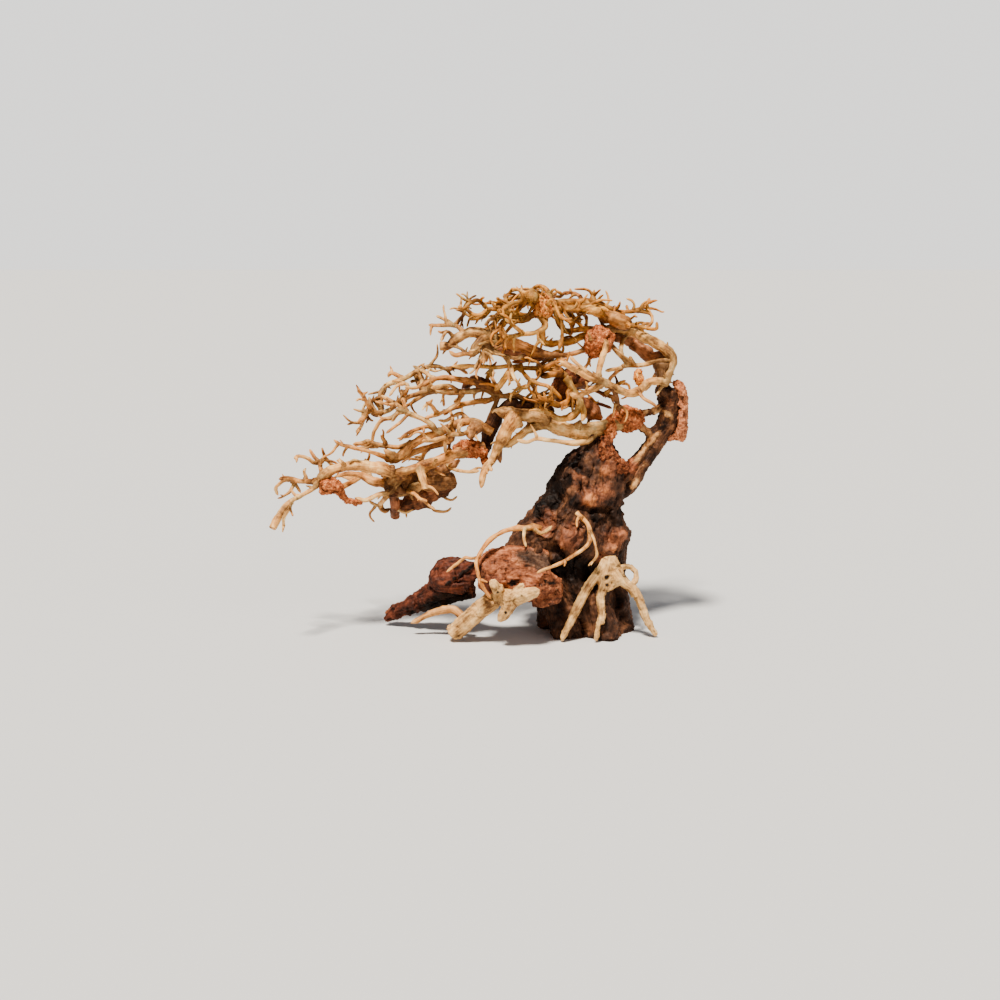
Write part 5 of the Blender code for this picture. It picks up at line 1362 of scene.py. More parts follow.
def fused(name, shapes, voxel, rounds=2):
    """One piece whose even skin wraps all the shapes, its stair steps smoothed away."""
    together = bmesh.new()
    for shape in shapes:
        passed = bpy.data.meshes.new("passed")
        shape.to_mesh(passed)
        shape.free()
        together.from_mesh(passed)
        bpy.data.meshes.remove(passed)
    mesh = bpy.data.meshes.new(name)
    together.to_mesh(mesh)
    together.free()
    piece = new_piece(name, mesh)
    wrap = piece.modifiers.new("wrap", "REMESH")
    wrap.mode = "VOXEL"
    wrap.voxel_size = voxel
    soften = piece.modifiers.new("soften", "SMOOTH")
    soften.factor = 0.5
    soften.iterations = rounds
    piece.data = evaluated_mesh(piece)
    piece.modifiers.clear()
    return piece


# %% Read and write a skin's points
def vectors_of(mesh, what):
    """One vector for each point of a mesh, as an array: its place, co, or its normal."""
    vectors = np.empty(len(mesh.vertices) * 3, np.float32)
    mesh.vertices.foreach_get(what, vectors)
    return vectors.reshape(-1, 3).astype(float)


def corners_of(mesh):
    """The places of a mesh's points."""
    return vectors_of(mesh, "co")


def move_corners(mesh, points):
    """Puts a mesh's points in new places."""
    mesh.vertices.foreach_set("co", points.astype(np.float32).ravel())
    mesh.update()


def lay_grain(mesh, lines):
    """Lays the grain along the nearest of some lines: two numbers across it, one along it."""
    points = corners_of(mesh)
    best = np.full(len(points), np.inf)
    grain = np.zeros((len(points), 3))
    for k, line in enumerate(lines):
        start = np.cross(line[1] - line[0], (0.1, 1, 0.2))
        for along, (centre, heading, across) in zip(arc_lengths(line), framed(line, start)):
            away = points - centre
            distance = np.einsum("ij,ij->i", away, away)
            nearer = distance < best
            best[nearer] = distance[nearer]
            local = away[nearer]
            grain[nearer, 0] = local @ across
            grain[nearer, 1] = local @ np.cross(heading, across)
            grain[nearer, 2] = local @ heading + along + k * GRAIN_JUMP
    write_on(mesh, "grain", grain, "FLOAT_VECTOR")


# %% [markdown]
# ### Splitting and pressing
# Dead wood breaks along flat faces, so planes are set just under the skin at random spots, and what stands
# above them is cut down. Dabs then press in the hollows and raise the knuckles that make this stump this one.

# %% Split facets off a skin
FACET_TILT = 0.3  # how far a split face leans from the skin it starts on
SPLIT_SHARES = (0.4, 1.0)  # least and most of the depth that a split takes


def split_facets(mesh, seed, count, depth, reach):
    """Flattens the skin at random spots, as where wood has split away along its fibres."""
    draw = random.Random(seed)
    points, normals = corners_of(mesh), vectors_of(mesh, "normal")
    for _ in range(count):
        spot = draw.randrange(len(points))
        tilt = np.array([draw.uniform(-FACET_TILT, FACET_TILT) for _ in range(3)])
        facing = unit(normals[spot] + tilt)
        away = points - points[spot]
        beyond = away @ facing + depth * draw.uniform(*SPLIT_SHARES)
        near = np.linalg.norm(away, axis=1) < reach
        points -= facing * np.where(near & (beyond > 0), beyond, 0)[:, None]
    move_corners(mesh, points)


# %% Dabs: small pushes and colour patches at points seen in the picture
SPOT_REACH = 3  # pixels round a spot in which the skin's front is looked for
SPOT_NEAREST = 5  # points that are looked at where none is in reach
GROOVE_STEP = 2.5  # pixels


def front_points(mesh, dabs):
    """Where the front of a mesh is seen at the column and row of each dab."""
    points = corners_of(mesh)
    seen = seen_at(points)
    found = []
    for column, row, *_ in dabs:
        apart = np.hypot(seen[:, 0] - column, seen[:, 1] - row)
        close = np.flatnonzero(apart < SPOT_REACH)
        if not len(close):
            close = np.argsort(apart)[:SPOT_NEAREST]
        found.append(points[close[points[close, 1].argmin()]])
    return found


def dab_weights(points, centre, radius):
    """How strongly a round dab touches each point: 1 at its middle, fading out at its radius."""
    return np.exp(-np.square(np.linalg.norm(points - centre, axis=1) / radius))


def groove(start, end, radius, push):
    """Dabs along a line of the picture, which together press one groove or raise one ridge."""
    count = int(math.dist(start, end) / GROOVE_STEP) + 2
    columns, rows = (np.linspace(start[k], end[k], count) for k in (0, 1))
    return [(column, row, radius, push) for column, row in zip(columns, rows)]


def push_dabs(mesh, dabs):
    """Pushes the skin in or out. Each dab is a column, a row, a radius and a push, both in millimetres."""
    points, normals = corners_of(mesh), vectors_of(mesh, "normal")
    moved = points.copy()
    for centre, (_, _, radius, push) in zip(front_points(mesh, dabs), dabs):
        moved += normals * (dab_weights(points, centre, radius * MM) * push * MM)[:, None]
    if dabs:
        move_corners(mesh, moved)


def patch(mesh, label, dabs, ground=0.0):
    """Writes a patch mask. Each dab is a column, a row, a radius in millimetres and a strength."""
    points = corners_of(mesh)
    mask = np.full(len(points), ground)
    for centre, (_, _, radius, strength) in zip(front_points(mesh, dabs), dabs):
        mask += dab_weights(points, centre, radius * MM) * strength
    write_on(mesh, label, np.clip(mask, 0, 1))


# %% [markdown]
# ### Carving
# The carving tree gives the fused skin its relief, with crumbs where the wood is rotten. It asks for a fine
# skin, so the voxels are half a millimetre or so.

# %% The tree that carves relief
CRUMB_LEVEL = 0.5  # the distance from a crumb's middle at which it is level with the skin

tree, given, wanted = new_group(
    "carved wood", "GeometryNodeTree",
    {"Geometry": "Geometry", "Lump Height": 0.001, "Lump Size": 0.009, "Ridge Height": 0.0005,
     "Ridge Width": 0.002, "Stretch": 6.0, "Pit Depth": 0.0003, "Pit Size": 0.002, "Crumb Height": 0.0006,
     "Crumb Size": 0.0012, "Seed": 1, "Finish": "Material"},
    {"Geometry": "Geometry"})
shared = ("Lump Height", "Lump Size", "Ridge Height", "Ridge Width", "Stretch", "Pit Depth", "Pit Size", "Seed")
relief = add(tree, "GeometryNodeGroup", {"Grain": named(tree, "grain", "FLOAT_VECTOR"),
                                         **{label: given[label] for label in shared}},
             node_tree=relief_group).outputs
where = add(tree, "GeometryNodeInputPosition").outputs[0]
cell_scale = maths(tree, "DIVIDE", 1.0, given["Crumb Size"])
crumbs = add(tree, "ShaderNodeTexVoronoi", {"Vector": where, "Scale": cell_scale}).outputs["Distance"]
crumbs = maths(tree, "MULTIPLY", maths(tree, "SUBTRACT", CRUMB_LEVEL, crumbs), given["Crumb Height"])
crumbs = maths(tree, "MULTIPLY", crumbs, named(tree, "crumbly"))
skin = raised(tree, given["Geometry"], relief, maths(tree, "ADD", relief["Height"], crumbs))
carve_tree = finish_tree(tree, shade_smooth(tree, skin), given["Finish"], wanted["Geometry"])


def carve(piece, seed, finish, stretch, sizes):
    """Carves relief on a fused piece. The sizes are in millimetres."""
    sizes = {label: size * MM for label, size in sizes.items()}
    grown_mesh(piece, carve_tree, {"Seed": seed, "Finish": finish, "Stretch": stretch, **sizes})


def rest_on_ground(piece):
    """Levels off whatever the relief pushed through the ground."""
    points = corners_of(piece.data)
    points[:, 2] = np.maximum(points[:, 2], 0.0)
    move_corners(piece.data, points)


# %% [markdown]
# ### The stump
# The stump is a fluted oval that leans and swells, its foot sawn flat. It was a root collar, dug up and turned
# the right way round, so the flutes wind up it and end in the neck that holds the tree.

# %% The stump's shape
# Its outline by rows of the picture: left and right edge in columns, front and back depth in millimetres
TRUNK = [
    (434, 588, 612, -8, 9),
    (447, 582, 614, -12, 11),
    (459, 566, 619, -16, 14),
    (471, 557, 625, -18, 17),
    (483, 551, 628, -20, 19),
    (495, 545, 623, -22, 21),
    (507, 536, 622, -24, 23),
    (519, 525, 626, -26, 25),
    (531, 515, 630, -28, 27),
    (543, 507, 625, -29, 28),
    (556, 508, 622, -27, 28),
    (572, 518, 621, -25, 28),
    (592, 532, 624, -25, 29),
    (612, 540, 629, -27, 31),
    (TOUCH_ROW - 8, 543, 632, -29, 33),
]
STUMP_STEP = 1.5  # rows between two rings
STUMP_SIDES = 120

ROOT_RIDGES = 6  # round the stump's foot
RIDGE_TURN = 0.8  # radians
RIDGE_HEIGHT = 45 * MM  # how far up the stump they reach
RIDGE_RISE = 4.0 * MM
FLUTES = ((2.2 * MM, 5, 55.0), (1.1 * MM, 9, -80.0))  # rise, how many round it, winding per metre up
CALM_TOP = 60 * MM  # the flutes fade out over this stretch below the eye's height
SIDE_SHARE = 0.4  # of the relief still shows at the outline's left and right edge

# A sawn branch stub on the stump's front
STUMP_STUB = Stick("548,538 541,543 534,547", (15, 14, 13), (-24, -33), 1, True)
STUB_ROOT = -14  # depth in millimetres, inside the stump

# Burls on the stump's front: column and row of the middle, width in pixels, rise in millimetres
BURLS = [
    (574, 473, 13, 2.5),
    (590, 497, 12, 2.5),
    (545, 517, 14, 3.0),
    (575, 538, 15, 3.0),
    (610, 545, 14, 3.0),
    (560, 495, 9, -2.5),
    (598, 520, 9, -3.0),
    (553, 541, 8, -3.0),
    (607, 480, 8, -2.5),
]
FRONT_HALF = 0.2  # burls rise where the sine of the turn is below this


def stump_relief(turns, height, columns, row):
    """How far the stump's side stands out, in metres: flutes that wind up it, root ridges and burls."""
    winding = sum(rise * np.sin(count * turns + wind * height) for rise, count, wind in FLUTES)
    ridges = RIDGE_RISE * max(0.0, 1 - height / RIDGE_HEIGHT) * np.cos(ROOT_RIDGES * turns + RIDGE_TURN)
    burls = 0.0
    for burl_column, burl_row, width, rise in BURLS:
        distance = np.hypot(columns - burl_column, row - burl_row) / width
        burls = burls + rise * MM * np.exp(-distance ** 2) * (np.sin(turns) < FRONT_HALF)
    return winding * min(1.0, (EYE_HEIGHT - height) / CALM_TOP) + ridges + burls


def read_table(table, at):
    """The four other numbers of a table at a value of its first, read between its rows."""
    return (np.interp(at, table[:, 0], table[:, k]) for k in (1, 2, 3, 4))


def stump_rings():
    """Close rings of a fluted oval, from the neck down to the sawn foot."""
    table = np.array(TRUNK, float)
    foot = table[-1, 0]
    turns = np.linspace(0, 2 * math.pi, STUMP_SIDES, endpoint=False)
    rings = []
    for row in np.append(np.arange(table[0, 0], foot, STUMP_STEP), foot):
        left, right, front, back = read_table(table, row)
        edges = place(np.array([left, right]), np.array([row, row]), np.array([0.0, 0.0]))
        height = 0.0 if row == foot else max(0.0, edges[0, 2])
        columns = (left + right) / 2 + np.cos(turns) * (right - left) / 2
        relief = stump_relief(turns, height, columns, row)
        showing = SIDE_SHARE + (1 - SIDE_SHARE) * np.abs(np.sin(turns))
        across = (edges[1, 0] - edges[0, 0]) / 2 + relief * showing
        deep = (back - front) / 2 * MM + relief
        rings.append(np.stack([edges.mean(axis=0)[0] + np.cos(turns) * across,
                               (front + back) / 2 * MM + np.sin(turns) * deep,
                               np.full(len(turns), height)], axis=1))
    return rings


def middle_line(rings):
    """The line through the middles of some rings."""
    return np.array([ring.mean(axis=0) for ring in rings])


# %% Carve the stump
NECK_RISE = 2 * MM  # of the stump's closed top above its first ring
STUMP_PUSHES = [
    (578, 566, 7, -7), (590, 576, 6, -6), (564, 577, 6, -4), (599, 564, 4, -3), (592, 499, 5, 3.5),
    (577, 476, 5, 2.5), (603, 488, 4, 2), (602, 471, 3, 1.5), (566, 538, 6, 3), (620, 537, 5, 3),
    (541, 508, 6, 3), (553, 553, 5, -3), (560, 500, 5, -2.5), (574, 512, 5, -2.5), (553, 525, 5, -3),
    (588, 484, 3, -2), (530, 528, 5, 2), (617, 550, 3, 1.5), *groove((583, 508), (612, 512), 3, -1.6),
    *groove((612, 512), (609, 540), 2.5, -1.4), *groove((575, 455), (585, 492), 3, -1.3),
    *groove((597, 462), (592, 486), 2, -0.9), *groove((553, 490), (545, 540), 3, -1.2),
    *groove((560, 545), (590, 524), 2, 1.0), *groove((606, 532), (629, 534), 2, 1.1),
    *groove((590, 548), (606, 562), 2, -1.2),
]
STUMP_MARKS = {
    "crumbly": [
        (541, 508, 7, 0.9), (566, 538, 9, 1), (616, 540, 9, 1.1), (548, 522, 7, 0.7), (575, 525, 6, 0.6),
        (600, 560, 6, 0.7), (606, 440, 6, 1), (612, 465, 6, 1), (605, 450, 5, 1), (603, 488, 7, 0.8),
        (540, 530, 6, 0.6), (588, 497, 8, 0.8), (578, 476, 7, 0.7),
    ],
    # Rubbed wood, and painted highlights on the lit ridge at the foot and on lit knuckles
    "wear_and_painted_light": [
        (603, 471, 4, 0.8), (591, 498, 6, 0.9), (604, 486, 5, 0.7), (576, 475, 5, 0.5), (609, 456, 3, 0.9),
        (617, 550, 3, 0.9), (560, 549, 3, 0.6), (628, 535, 3, 0.5), (598, 440, 3, 0.4),
    ],
    # Dark wood down the left face, and painted shade in the recess over the foot and under the right bulge
    "dark_and_shade": [
        (560, 466, 7, 1), (552, 480, 7, 1), (546, 495, 7, 1), (534, 512, 6, 1), (520, 530, 6, 0.8),
        (578, 570, 12, 1.2), (592, 580, 8, 1), (558, 570, 7, 1), (578, 455, 5, 0.8), (618, 515, 8, 1.1),
        (596, 514, 6, 0.9), (574, 505, 6, 0.8), (582, 485, 4, 0.6), (568, 452, 6, 0.9), (556, 500, 6, 0.9),
        (567, 478, 5, 0.9), (560, 488, 5, 0.8), (574, 462, 4, 0.8), (545, 478, 6, 0.9),
    ],
}
ROTTEN = 0.12  # how crumbly the stump is all over

rings = stump_rings()
stub = Limb("trunk", STUMP_STUB, read_route(STUMP_STUB.route), [], STUB_ROOT * MM)
neck = rings[0].mean(axis=0) + np.array([0, 0, NECK_RISE])
stump = fused("stump", [closed_shape(rings, (neck, None)), thick_tube(stub)], 0.65 * MM)
lay_grain(stump.data, [middle_line(rings)])
split_facets(stump.data, "stump", 60, 1.0 * MM, 9 * MM)
push_dabs(stump.data, STUMP_PUSHES)
for label, dabs in STUMP_MARKS.items():
    patch(stump.data, label, dabs, ROTTEN if label == "crumbly" else 0.0)
carve(stump, 3, dark_wood, 4.5, {"Lump Height": 1.5, "Lump Size": 8, "Ridge Height": 1.7, "Ridge Width": 5,
                                 "Pit Depth": 0.8, "Pit Size": 3.4, "Crumb Height": 1.3})
rest_on_ground(stump)
stands_for(stump, "trunk")

# %% [markdown]
# ### The slab and the block
# Two broken chunks lean on the stump's foot. A chunk breaks in flat faces with hard edges, so its section is a
# polygon, drawn once in shares of its half depth and half height, and swept along the columns of the picture.

# %% The slab and the block at its foot
# Each by columns of the picture: top and bottom edge in rows, front and back depth in millimetres
BASE_SLAB = [
    (479, 562, 586, -44, -26),
    (484, 555, 589, -46, -23),
    (490, 551, 594, -48, -20),
    (505, 547, 598, -48, -17),
    (524, 547, 602, -48, -15),
    (540, 549, 604, -49, -15),
    (548, 552, 603, -48, -16),
    (551, 565, 602, -47, -17),
    (557, 571, 600, -46, -19),
    (562, 574, 597, -44, -22),
]
LEFT_BLOCK = [
    (429, 571, 585, -20, -8),
    (437, 562, 589, -24, -4),
    (450, 559, 591, -26, 0),
    (464, 557, 592, -27, 0),
    (476, 558, 591, -29, -3),
    (486, 562, 587, -30, -8),
    (493, 568, 580, -28, -12),
]
CHUNK_SECTION = (
    (1.0, 0.5), (0.7, 1.0), (0.0, 1.0), (-0.85, 0.4), (-1.0, -0.2), (-0.75, -0.95), (0.1, -1.0),
    (1.0, -0.8),
)
SECTION_POINTS = 60
CHUNK_STEP = 1.5  # columns between two rings
CHUNK_END = 0.8 * MM  # how far an end's middle stands out


def chunk_rings(sections):
    """Rings across a broken chunk of wood, column by column, each a polygon with even points."""
    table = np.array(sections, float)
    outline = np.array([*CHUNK_SECTION, CHUNK_SECTION[0]])
    along = arc_lengths(outline)
    even = np.linspace(0, along[-1], SECTION_POINTS, endpoint=False)
    shape = np.stack([np.interp(even, along, outline[:, k]) for k in (0, 1)], axis=1)
    first, last = table[0, 0], table[-1, 0]
    rings = []
    for column in np.linspace(first, last, int((last - first) / CHUNK_STEP)):
        top, bottom, front, back = read_table(table, column)
        high, low = place(np.full(2, column), np.array([top, bottom]), np.full(2, (front + back) / 2 * MM))
        centre = (high + low) / 2
        rings.append(np.stack([np.full(len(shape), centre[0]),
                               centre[1] + shape[:, 0] * (back - front) / 2 * MM,
                               centre[2] + shape[:, 1] * (high[2] - low[2]) / 2], axis=1))
    return rings


# %% Carve the slab and the block
SLAB_MARKS = {
    "crumbly": [(490, 565, 12, 1), (515, 570, 14, 1), (545, 590, 10, 0.8)],
    # Painted shadow of the boughs above, on the slab's top
    "wear_and_painted_light": [(533, 556, 8, 0.8), (544, 563, 6, 0.7), (523, 551, 6, 0.7), (549, 556, 5, 0.7)],
    # Painted shade in the crack at the right end and in the knot hole, and a few dark spots
    "dark_and_shade": [
        *groove((537, 583), (557, 585), 1.3, 0.7), (515, 582, 3, 1), (480, 575, 3, 0.7), (549, 566, 3, 0.5),
    ],
    "deep_red": [(552, 594, 8, 0.6), (500, 593, 10, 0.7), (486, 580, 6, 0.6), (527, 574, 5, 0.4)],
}
BLOCK_MARKS = {
    "crumbly": [(440, 575, 8, 0.5)],
    # Painted shadow under the block's right end, and painted shade along its fold line
    "dark_and_shade": [(470, 588, 5, 0.8), *groove((476, 562), (447, 588), 1.2, 0.8)],
    "deep_red": [(450, 575, 30, 1.2), (480, 575, 20, 1)],
}
SLAB_PUSHES = [
    *groove((538, 584), (558, 584), 1.3, -1.8), (515, 582, 3, -2.5),
    *groove((484, 562), (512, 553), 2, 0.8), *groove((535, 575), (556, 574), 2, 0.8),
    *groove((536, 592), (560, 594), 2, 0.8), (556, 566, 3, -2),
]
BLOCK_PUSHES = [
    *groove((478, 561), (447, 588), 1.4, -1.4), *groove((470, 562), (441, 586), 2, 0.6), (431, 580, 2.5, 1),
]
CHUNK_SIZES = {"Lump Height": 0.7, "Lump Size": 8, "Ridge Height": 0.9, "Ridge Width": 2.6, "Pit Depth": 0.6,
               "Pit Size": 3.0, "Crumb Height": 1.1}
CHUNK_ROTTEN = 0.15

for name, node, sections, seed, marks, pushes in (
        ("slab", "base_slab", BASE_SLAB, 5, SLAB_MARKS, SLAB_PUSHES),
        ("block", "left_block", LEFT_BLOCK, 6, BLOCK_MARKS, BLOCK_PUSHES)):
    rings = chunk_rings(sections)
    outward = np.array([CHUNK_END, 0, 0])
    tips = (rings[0].mean(axis=0) - outward, rings[-1].mean(axis=0) + outward)
    chunk = fused(name, [closed_shape(rings, tips)], 0.5 * MM, 1)
    split_facets(chunk.data, name, 30, 1.3 * MM, 13 * MM)
    lay_grain(chunk.data, [middle_line(rings)])
    push_dabs(chunk.data, pushes)
    for label, dabs in marks.items():
        patch(chunk.data, label, dabs, CHUNK_ROTTEN if label == "crumbly" else 0.0)
    carve(chunk, seed, red_wood, 7.0, CHUNK_SIZES)
    rest_on_ground(chunk)
    stands_for(chunk, node)

# %% [markdown]
# ### Limbs and roots
# The same steps serve the thick limbs and roots: tubes are fused, split, pressed and carved. What differs is a
# row of numbers for each, and the marks that it shows.

# %% The limbs and roots that are carved
# For each: its finish, then in millimetres its voxel, lumps, ridges and their width, and pits, how crumbly it
# is, how much fatter than its route, and how many split facets it has
CARVED = {
    "elbow_limb": (brown_wood, 0.5, 0.9, 0.9, 2.6, 0.5, 0.05, 1.12, 30),
    "bark_plate": (bark, 0.4, 1.0, 0.7, 2.0, 0.7, 1.0, 1.0, 24),
    "core_branch": (brown_wood, 0.45, 0.5, 0.5, 2.4, 0.3, 0.2, 1.0, 8),
    "heart_stub": (brown_wood, 0.45, 0.6, 0.5, 2.4, 0.4, 0.6, 1.0, 8),
    "left_log": (red_wood, 0.45, 0.9, 1.2, 2.4, 0.7, 0.1, 1.15, 30),
    "front_root": (root_wood, 0.4, 0.6, 0.6, 2.0, 0.4, 0.0, 1.0, 14),
    "right_foot": (root_wood, 0.4, 0.5, 0.5, 2.0, 0.35, 0.0, 1.0, 14),
}
CARVED_MARKS = {
    "elbow_limb": {
        # Rubbed strips, partly painted highlight along the limb's lit top edges
        "wear_and_painted_light": [
            *groove((633, 460), (641, 448), 2.2, 0.32), *groove((641, 446), (656, 431), 2.2, 0.36),
            *groove((647, 420), (652, 431), 2.2, 0.3), *groove((658, 409), (671, 420), 2.4, 0.3),
            *groove((634, 490), (640, 478), 2.2, 0.32), (656, 405, 3, 0.6), (662, 428, 3, 0.4),
            *groove((641, 411), (656, 409), 2.2, 0.4), *groove((645, 426), (651, 438), 2, 0.4),
            (646, 462, 4, 0.35), (652, 448, 4, 0.35),
        ],
        "crumbly": [(618, 465, 7, 1.2), (627, 463, 6, 1.1), (614, 478, 6, 0.9), (668, 400, 6, 0.4)],
    },
    "left_log": {
        # Painted shadow on the log's top right, in the gap under the block and the slab
        "dark_and_shade": [
            (445, 602, 12, 1.1), (462, 604, 9, 1.2), (430, 610, 8, 0.9), (412, 616, 7, 0.7),
            (395, 624, 5, 0.7),
        ],
        "deep_red": [(388, 616, 9, 1), (410, 608, 14, 1.2), (440, 598, 26, 1.2)],
    },
    "front_root": {
        # Painted shade in the crevices where the fork and the curl meet the stub
        "dark_and_shade": [(495, 593, 1.6, 0.9), (503, 611, 1.4, 0.9), (519, 595, 1.2, 0.7), (500, 601, 1.0, 0.8)],
    },
    # Painted shade in the slit between the toes and inside the ring
    "right_foot": {"dark_and_shade": [(606, 579, 2.0, 1.2), (609, 583, 1.6, 1), (628, 574, 4, 0.7)]},
}
CARVED_PUSHES = {
    "front_root": [(495, 593, 2, -1.2), (503, 611, 1.5, -0.8), (505, 588, 3, 1.0), (488, 597, 3, 0.6)],
    "right_foot": [(607, 580, 2.2, -3.0), (612, 560, 3, 0.6)],
    "left_log": [
        (386, 617, 7, -1.2), (398, 613, 6, -0.8), *groove((470, 596), (400, 618), 1.6, -1.3),
        *groove((440, 592), (392, 612), 1.8, 0.9),
    ],
    "elbow_limb": [*groove((668, 420), (628, 490), 2, -1.0), (660, 400, 3, -1.2), (638, 470, 3, 1.0)],
}

for seed, (node, row) in enumerate(CARVED.items()):
    finish, voxel, lump, ridge, width, pit, crumbly, fatter, facets = row
    limbs = limbs_of[node]
    carved = fused(node + "_wood", [thick_tube(limb, fatter) for limb in limbs], voxel * MM)
    split_facets(carved.data, node, facets, 0.7 * MM, 6 * MM)
    lay_grain(carved.data, [limb.places() for limb in limbs])
    push_dabs(carved.data, CARVED_PUSHES.get(node, []))
    marks = {"crumbly": [], **CARVED_MARKS.get(node, {})}
    for label, dabs in marks.items():
        patch(carved.data, label, dabs, crumbly if label == "crumbly" else 0.0)
    carve(carved, 20 + seed, finish, 7.0, {
        "Lump Height": lump, "Lump Size": 6, "Ridge Height": ridge, "Ridge Width": width, "Pit Depth": pit,
        "Pit Size": 2.0, "Crumb Height": 0.9})
    rest_on_ground(carved)
    stands_for(carved, node)

# %% [markdown]
# ## Glue and sawdust
# The glue is pressed round the joints wet, and sawdust is shaken over it until no more sticks. So each lump is
# a soft, fused shape, and a tree scatters hard little grains over its whole skin.

# %% [markdown]
# ### A coat of sawdust
# Grains are instances of one small crumb with a few dozen faces, scattered with an even spacing, each turned
# and stretched its own way and given its own tint.

# %% The tree that scatters grains
GRAIN_STRETCH = ((0.5, 0.5, 0.4), (1.5, 1.2, 0.9))  # least and most of a grain's length, width and thickness
FULL_TURN = 6.3
MOST_GRAINS = 4e6  # a square metre
GRAIN_HOLLOWS = (0.0, 0.7)

tree, given, wanted = new_group(
    "scattered grains", "GeometryNodeTree",
    {"Geometry": "Geometry", "Spacing": 0.0007, "Grain Size": 0.0005, "Seed": 1, "Finish": "Material"},
    {"Geometry": "Geometry"})
spots = add(tree, "GeometryNodeDistributePointsOnFaces", {
    "Mesh": given["Geometry"], "Distance Min": given["Spacing"], "Density Max": MOST_GRAINS,
    "Seed": given["Seed"]}, distribute_method="POISSON").outputs[0]
crumb = add(tree, "GeometryNodeMeshIcoSphere", {"Radius": 1.0, "Subdivisions": 1}).outputs[0]


def drawn_vector(tree, low, high, seed):
    """A random vector for each element."""
    inputs = {0: low, 1: high, "Seed": seed}
    return add(tree, "FunctionNodeRandomValue", inputs, data_type="FLOAT_VECTOR").outputs[0]


stretch = drawn_vector(tree, *GRAIN_STRETCH, given["Seed"])
spin = drawn_vector(tree, (0, 0, 0), (FULL_TURN,) * 3, maths(tree, "ADD", given["Seed"], 1.0))
turned = add(tree, "FunctionNodeEulerToRotation", {0: spin}).outputs[0]
grains = add(tree, "GeometryNodeInstanceOnPoints", {
    "Points": spots, "Instance": crumb, "Rotation": turned,
    "Scale": scaled(tree, stretch, given["Grain Size"])}).outputs[0]
tint = drawn_number(tree, 0.0, 1.0, given["Seed"])
hollow = drawn_number(tree, *GRAIN_HOLLOWS, maths(tree, "ADD", given["Seed"], 2.0))
grains = store(tree, grains, "tint", tint, domain="INSTANCE")
grains = store(tree, grains, "hollow", hollow, domain="INSTANCE")
coated = joined(tree, grains, given["Geometry"])
grain_tree = finish_tree(tree, coated, given["Finish"], wanted["Geometry"])

# %% Make the lumps of glue
GLUE_FATTER = {"glue_top": 1.1, "glue_neck": 1.3, "glue_shoulder": 1.1, "glue_elbow": 0.85,
               "glue_crown": 1.1}  # than their routes
GLUE_FINISH = {"glue_crown": fresh_glue, "glue_elbow": fresh_glue, "glue_shoulder": old_glue}
GLUE_SIZES = {"Lump Height": 1.4, "Lump Size": 3.5, "Ridge Height": 0.0, "Pit Depth": 0.5, "Pit Size": 1.8}
COAT = {"Spacing": 0.75 * MM, "Grain Size": 0.45 * MM}

for seed, node in enumerate(LUMPS):
    limbs = limbs_of[node]
    finish = GLUE_FINISH.get(node, glue)
    lump = fused(node + "_lump", [thick_tube(limb, GLUE_FATTER.get(node, 1.0)) for limb in limbs], 0.6 * MM, 4)
    lay_grain(lump.data, [limb.places() for limb in limbs])
    patch(lump.data, "crumbly", [])
    carve(lump, 40 + seed, finish, 6.0, GLUE_SIZES)
    grown_mesh(lump, grain_tree, {"Seed": seed, "Finish": finish, **COAT})
    stands_for(lump, node)

# %% [markdown]
# ## The studio
# A plain pale floor, and light that is soft but still has a side to it: one large lamp high overhead does
# most of the work, so that each stick is light on top and dark below, and a weak one opens up the shadows.

# %% The floor
FLOOR_REACH = 60.0  # metres to each side
FLOOR_COLOUR = (0.68, 0.67, 0.65, 1)

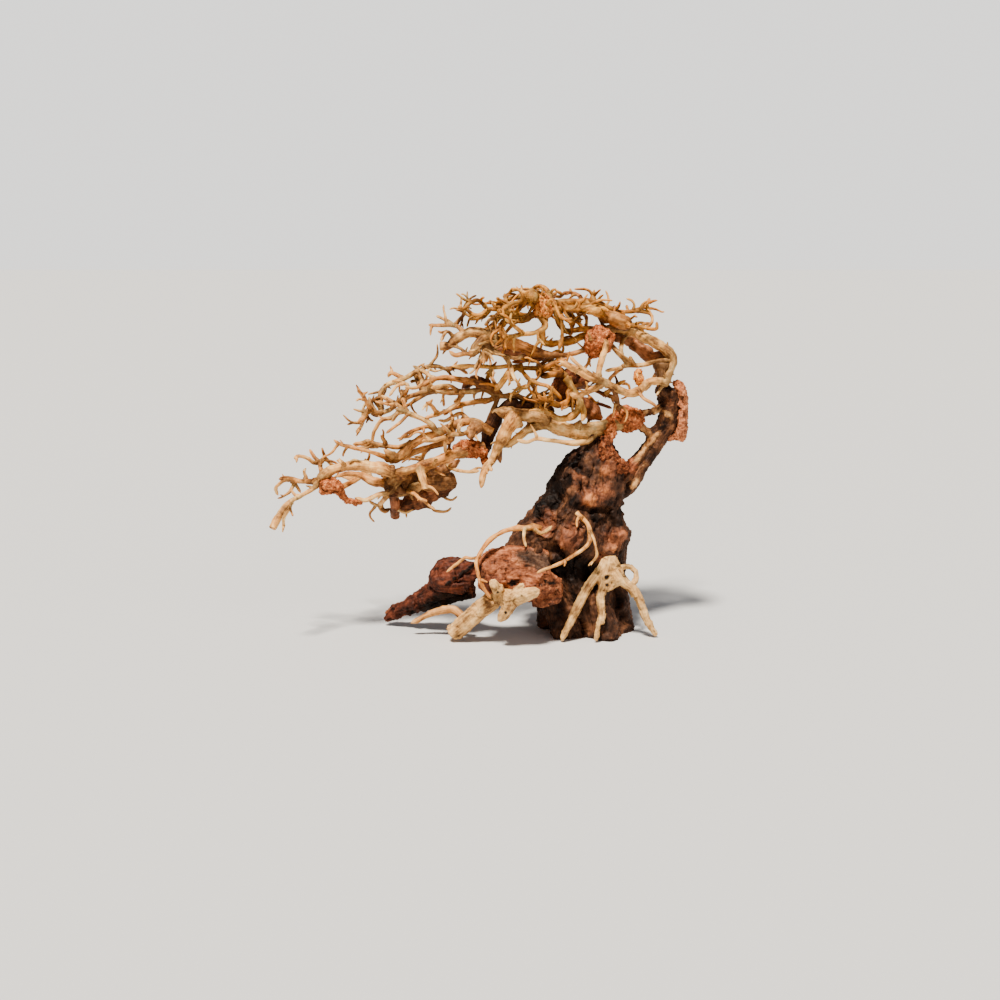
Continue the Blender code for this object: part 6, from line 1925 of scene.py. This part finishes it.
floor_mesh = bpy.data.meshes.new("floor")
edges = ((-1, -1), (1, -1), (1, 1), (-1, 1))
floor_mesh.from_pydata([(FLOOR_REACH * x, FLOOR_REACH * y, 0) for x, y in edges], [], [(0, 1, 2, 3)])
floor = new_piece("floor", floor_mesh)
floor_paint = bpy.data.materials.new("pale_floor")
floor_paint.use_nodes = True
floor_shader = floor_paint.node_tree.nodes["Principled BSDF"]
floor_shader.inputs["Base Color"].default_value = FLOOR_COLOUR
floor_shader.inputs["Roughness"].default_value = 0.9
floor_mesh.materials.append(floor_paint)
print("the floor reaches", FLOOR_REACH, "m to each side")

# %% The lights
def far_lamp(name, spot, strength, softness, colour):
    """A lamp so far off that its light falls evenly, from the direction of a spot. Softness is in degrees."""
    light = bpy.data.lights.new(name, "SUN")
    light.energy = strength
    light.angle = math.radians(softness)
    light.color = colour
    thing = bpy.data.objects.new(name, light)
    thing.rotation_euler = (-Vector(spot)).to_track_quat("-Z", "Y").to_euler()
    bpy.context.scene.collection.objects.link(thing)
    print(f"{name} lamp: strength {strength}")


far_lamp("key", (-0.2, -0.5, 1.0), 5.4, 9, (1.0, 0.95, 0.87))
far_lamp("fill", (0.9, -0.8, 0.6), 0.35, 40, (0.92, 0.96, 1.0))

# The room's own light is weak and cool. The eye sees a brighter wall instead of it, which lights nothing.
world = bpy.data.worlds.new("room")
world.use_nodes = True
tree = world.node_tree
room = tree.nodes["Background"]
room.inputs["Color"].default_value = (0.92, 0.94, 1.0, 1)
room.inputs["Strength"].default_value = 0.26
behind = add(tree, "ShaderNodeBackground", {"Color": (0.90, 0.885, 0.86, 1), "Strength": 1.24})
seen_by_eye = add(tree, "ShaderNodeLightPath").outputs["Is Camera Ray"]
either = add(tree, "ShaderNodeMixShader", {0: seen_by_eye, 1: room.outputs[0], 2: behind.outputs[0]})
tree.links.new(either.outputs[0], tree.nodes["World Output"].inputs["Surface"])
bpy.context.scene.world = world
bpy.context.scene.view_settings.look = "AgX - Medium High Contrast"

# %% [markdown]
# ## Counting
# Last, the triangles of every shown mesh are counted.

# %% Count the triangles
total = sum(count_triangles(thing) for thing in bpy.data.objects if thing.type == "MESH" and not thing.hide_render)
print(total, "triangles in all")
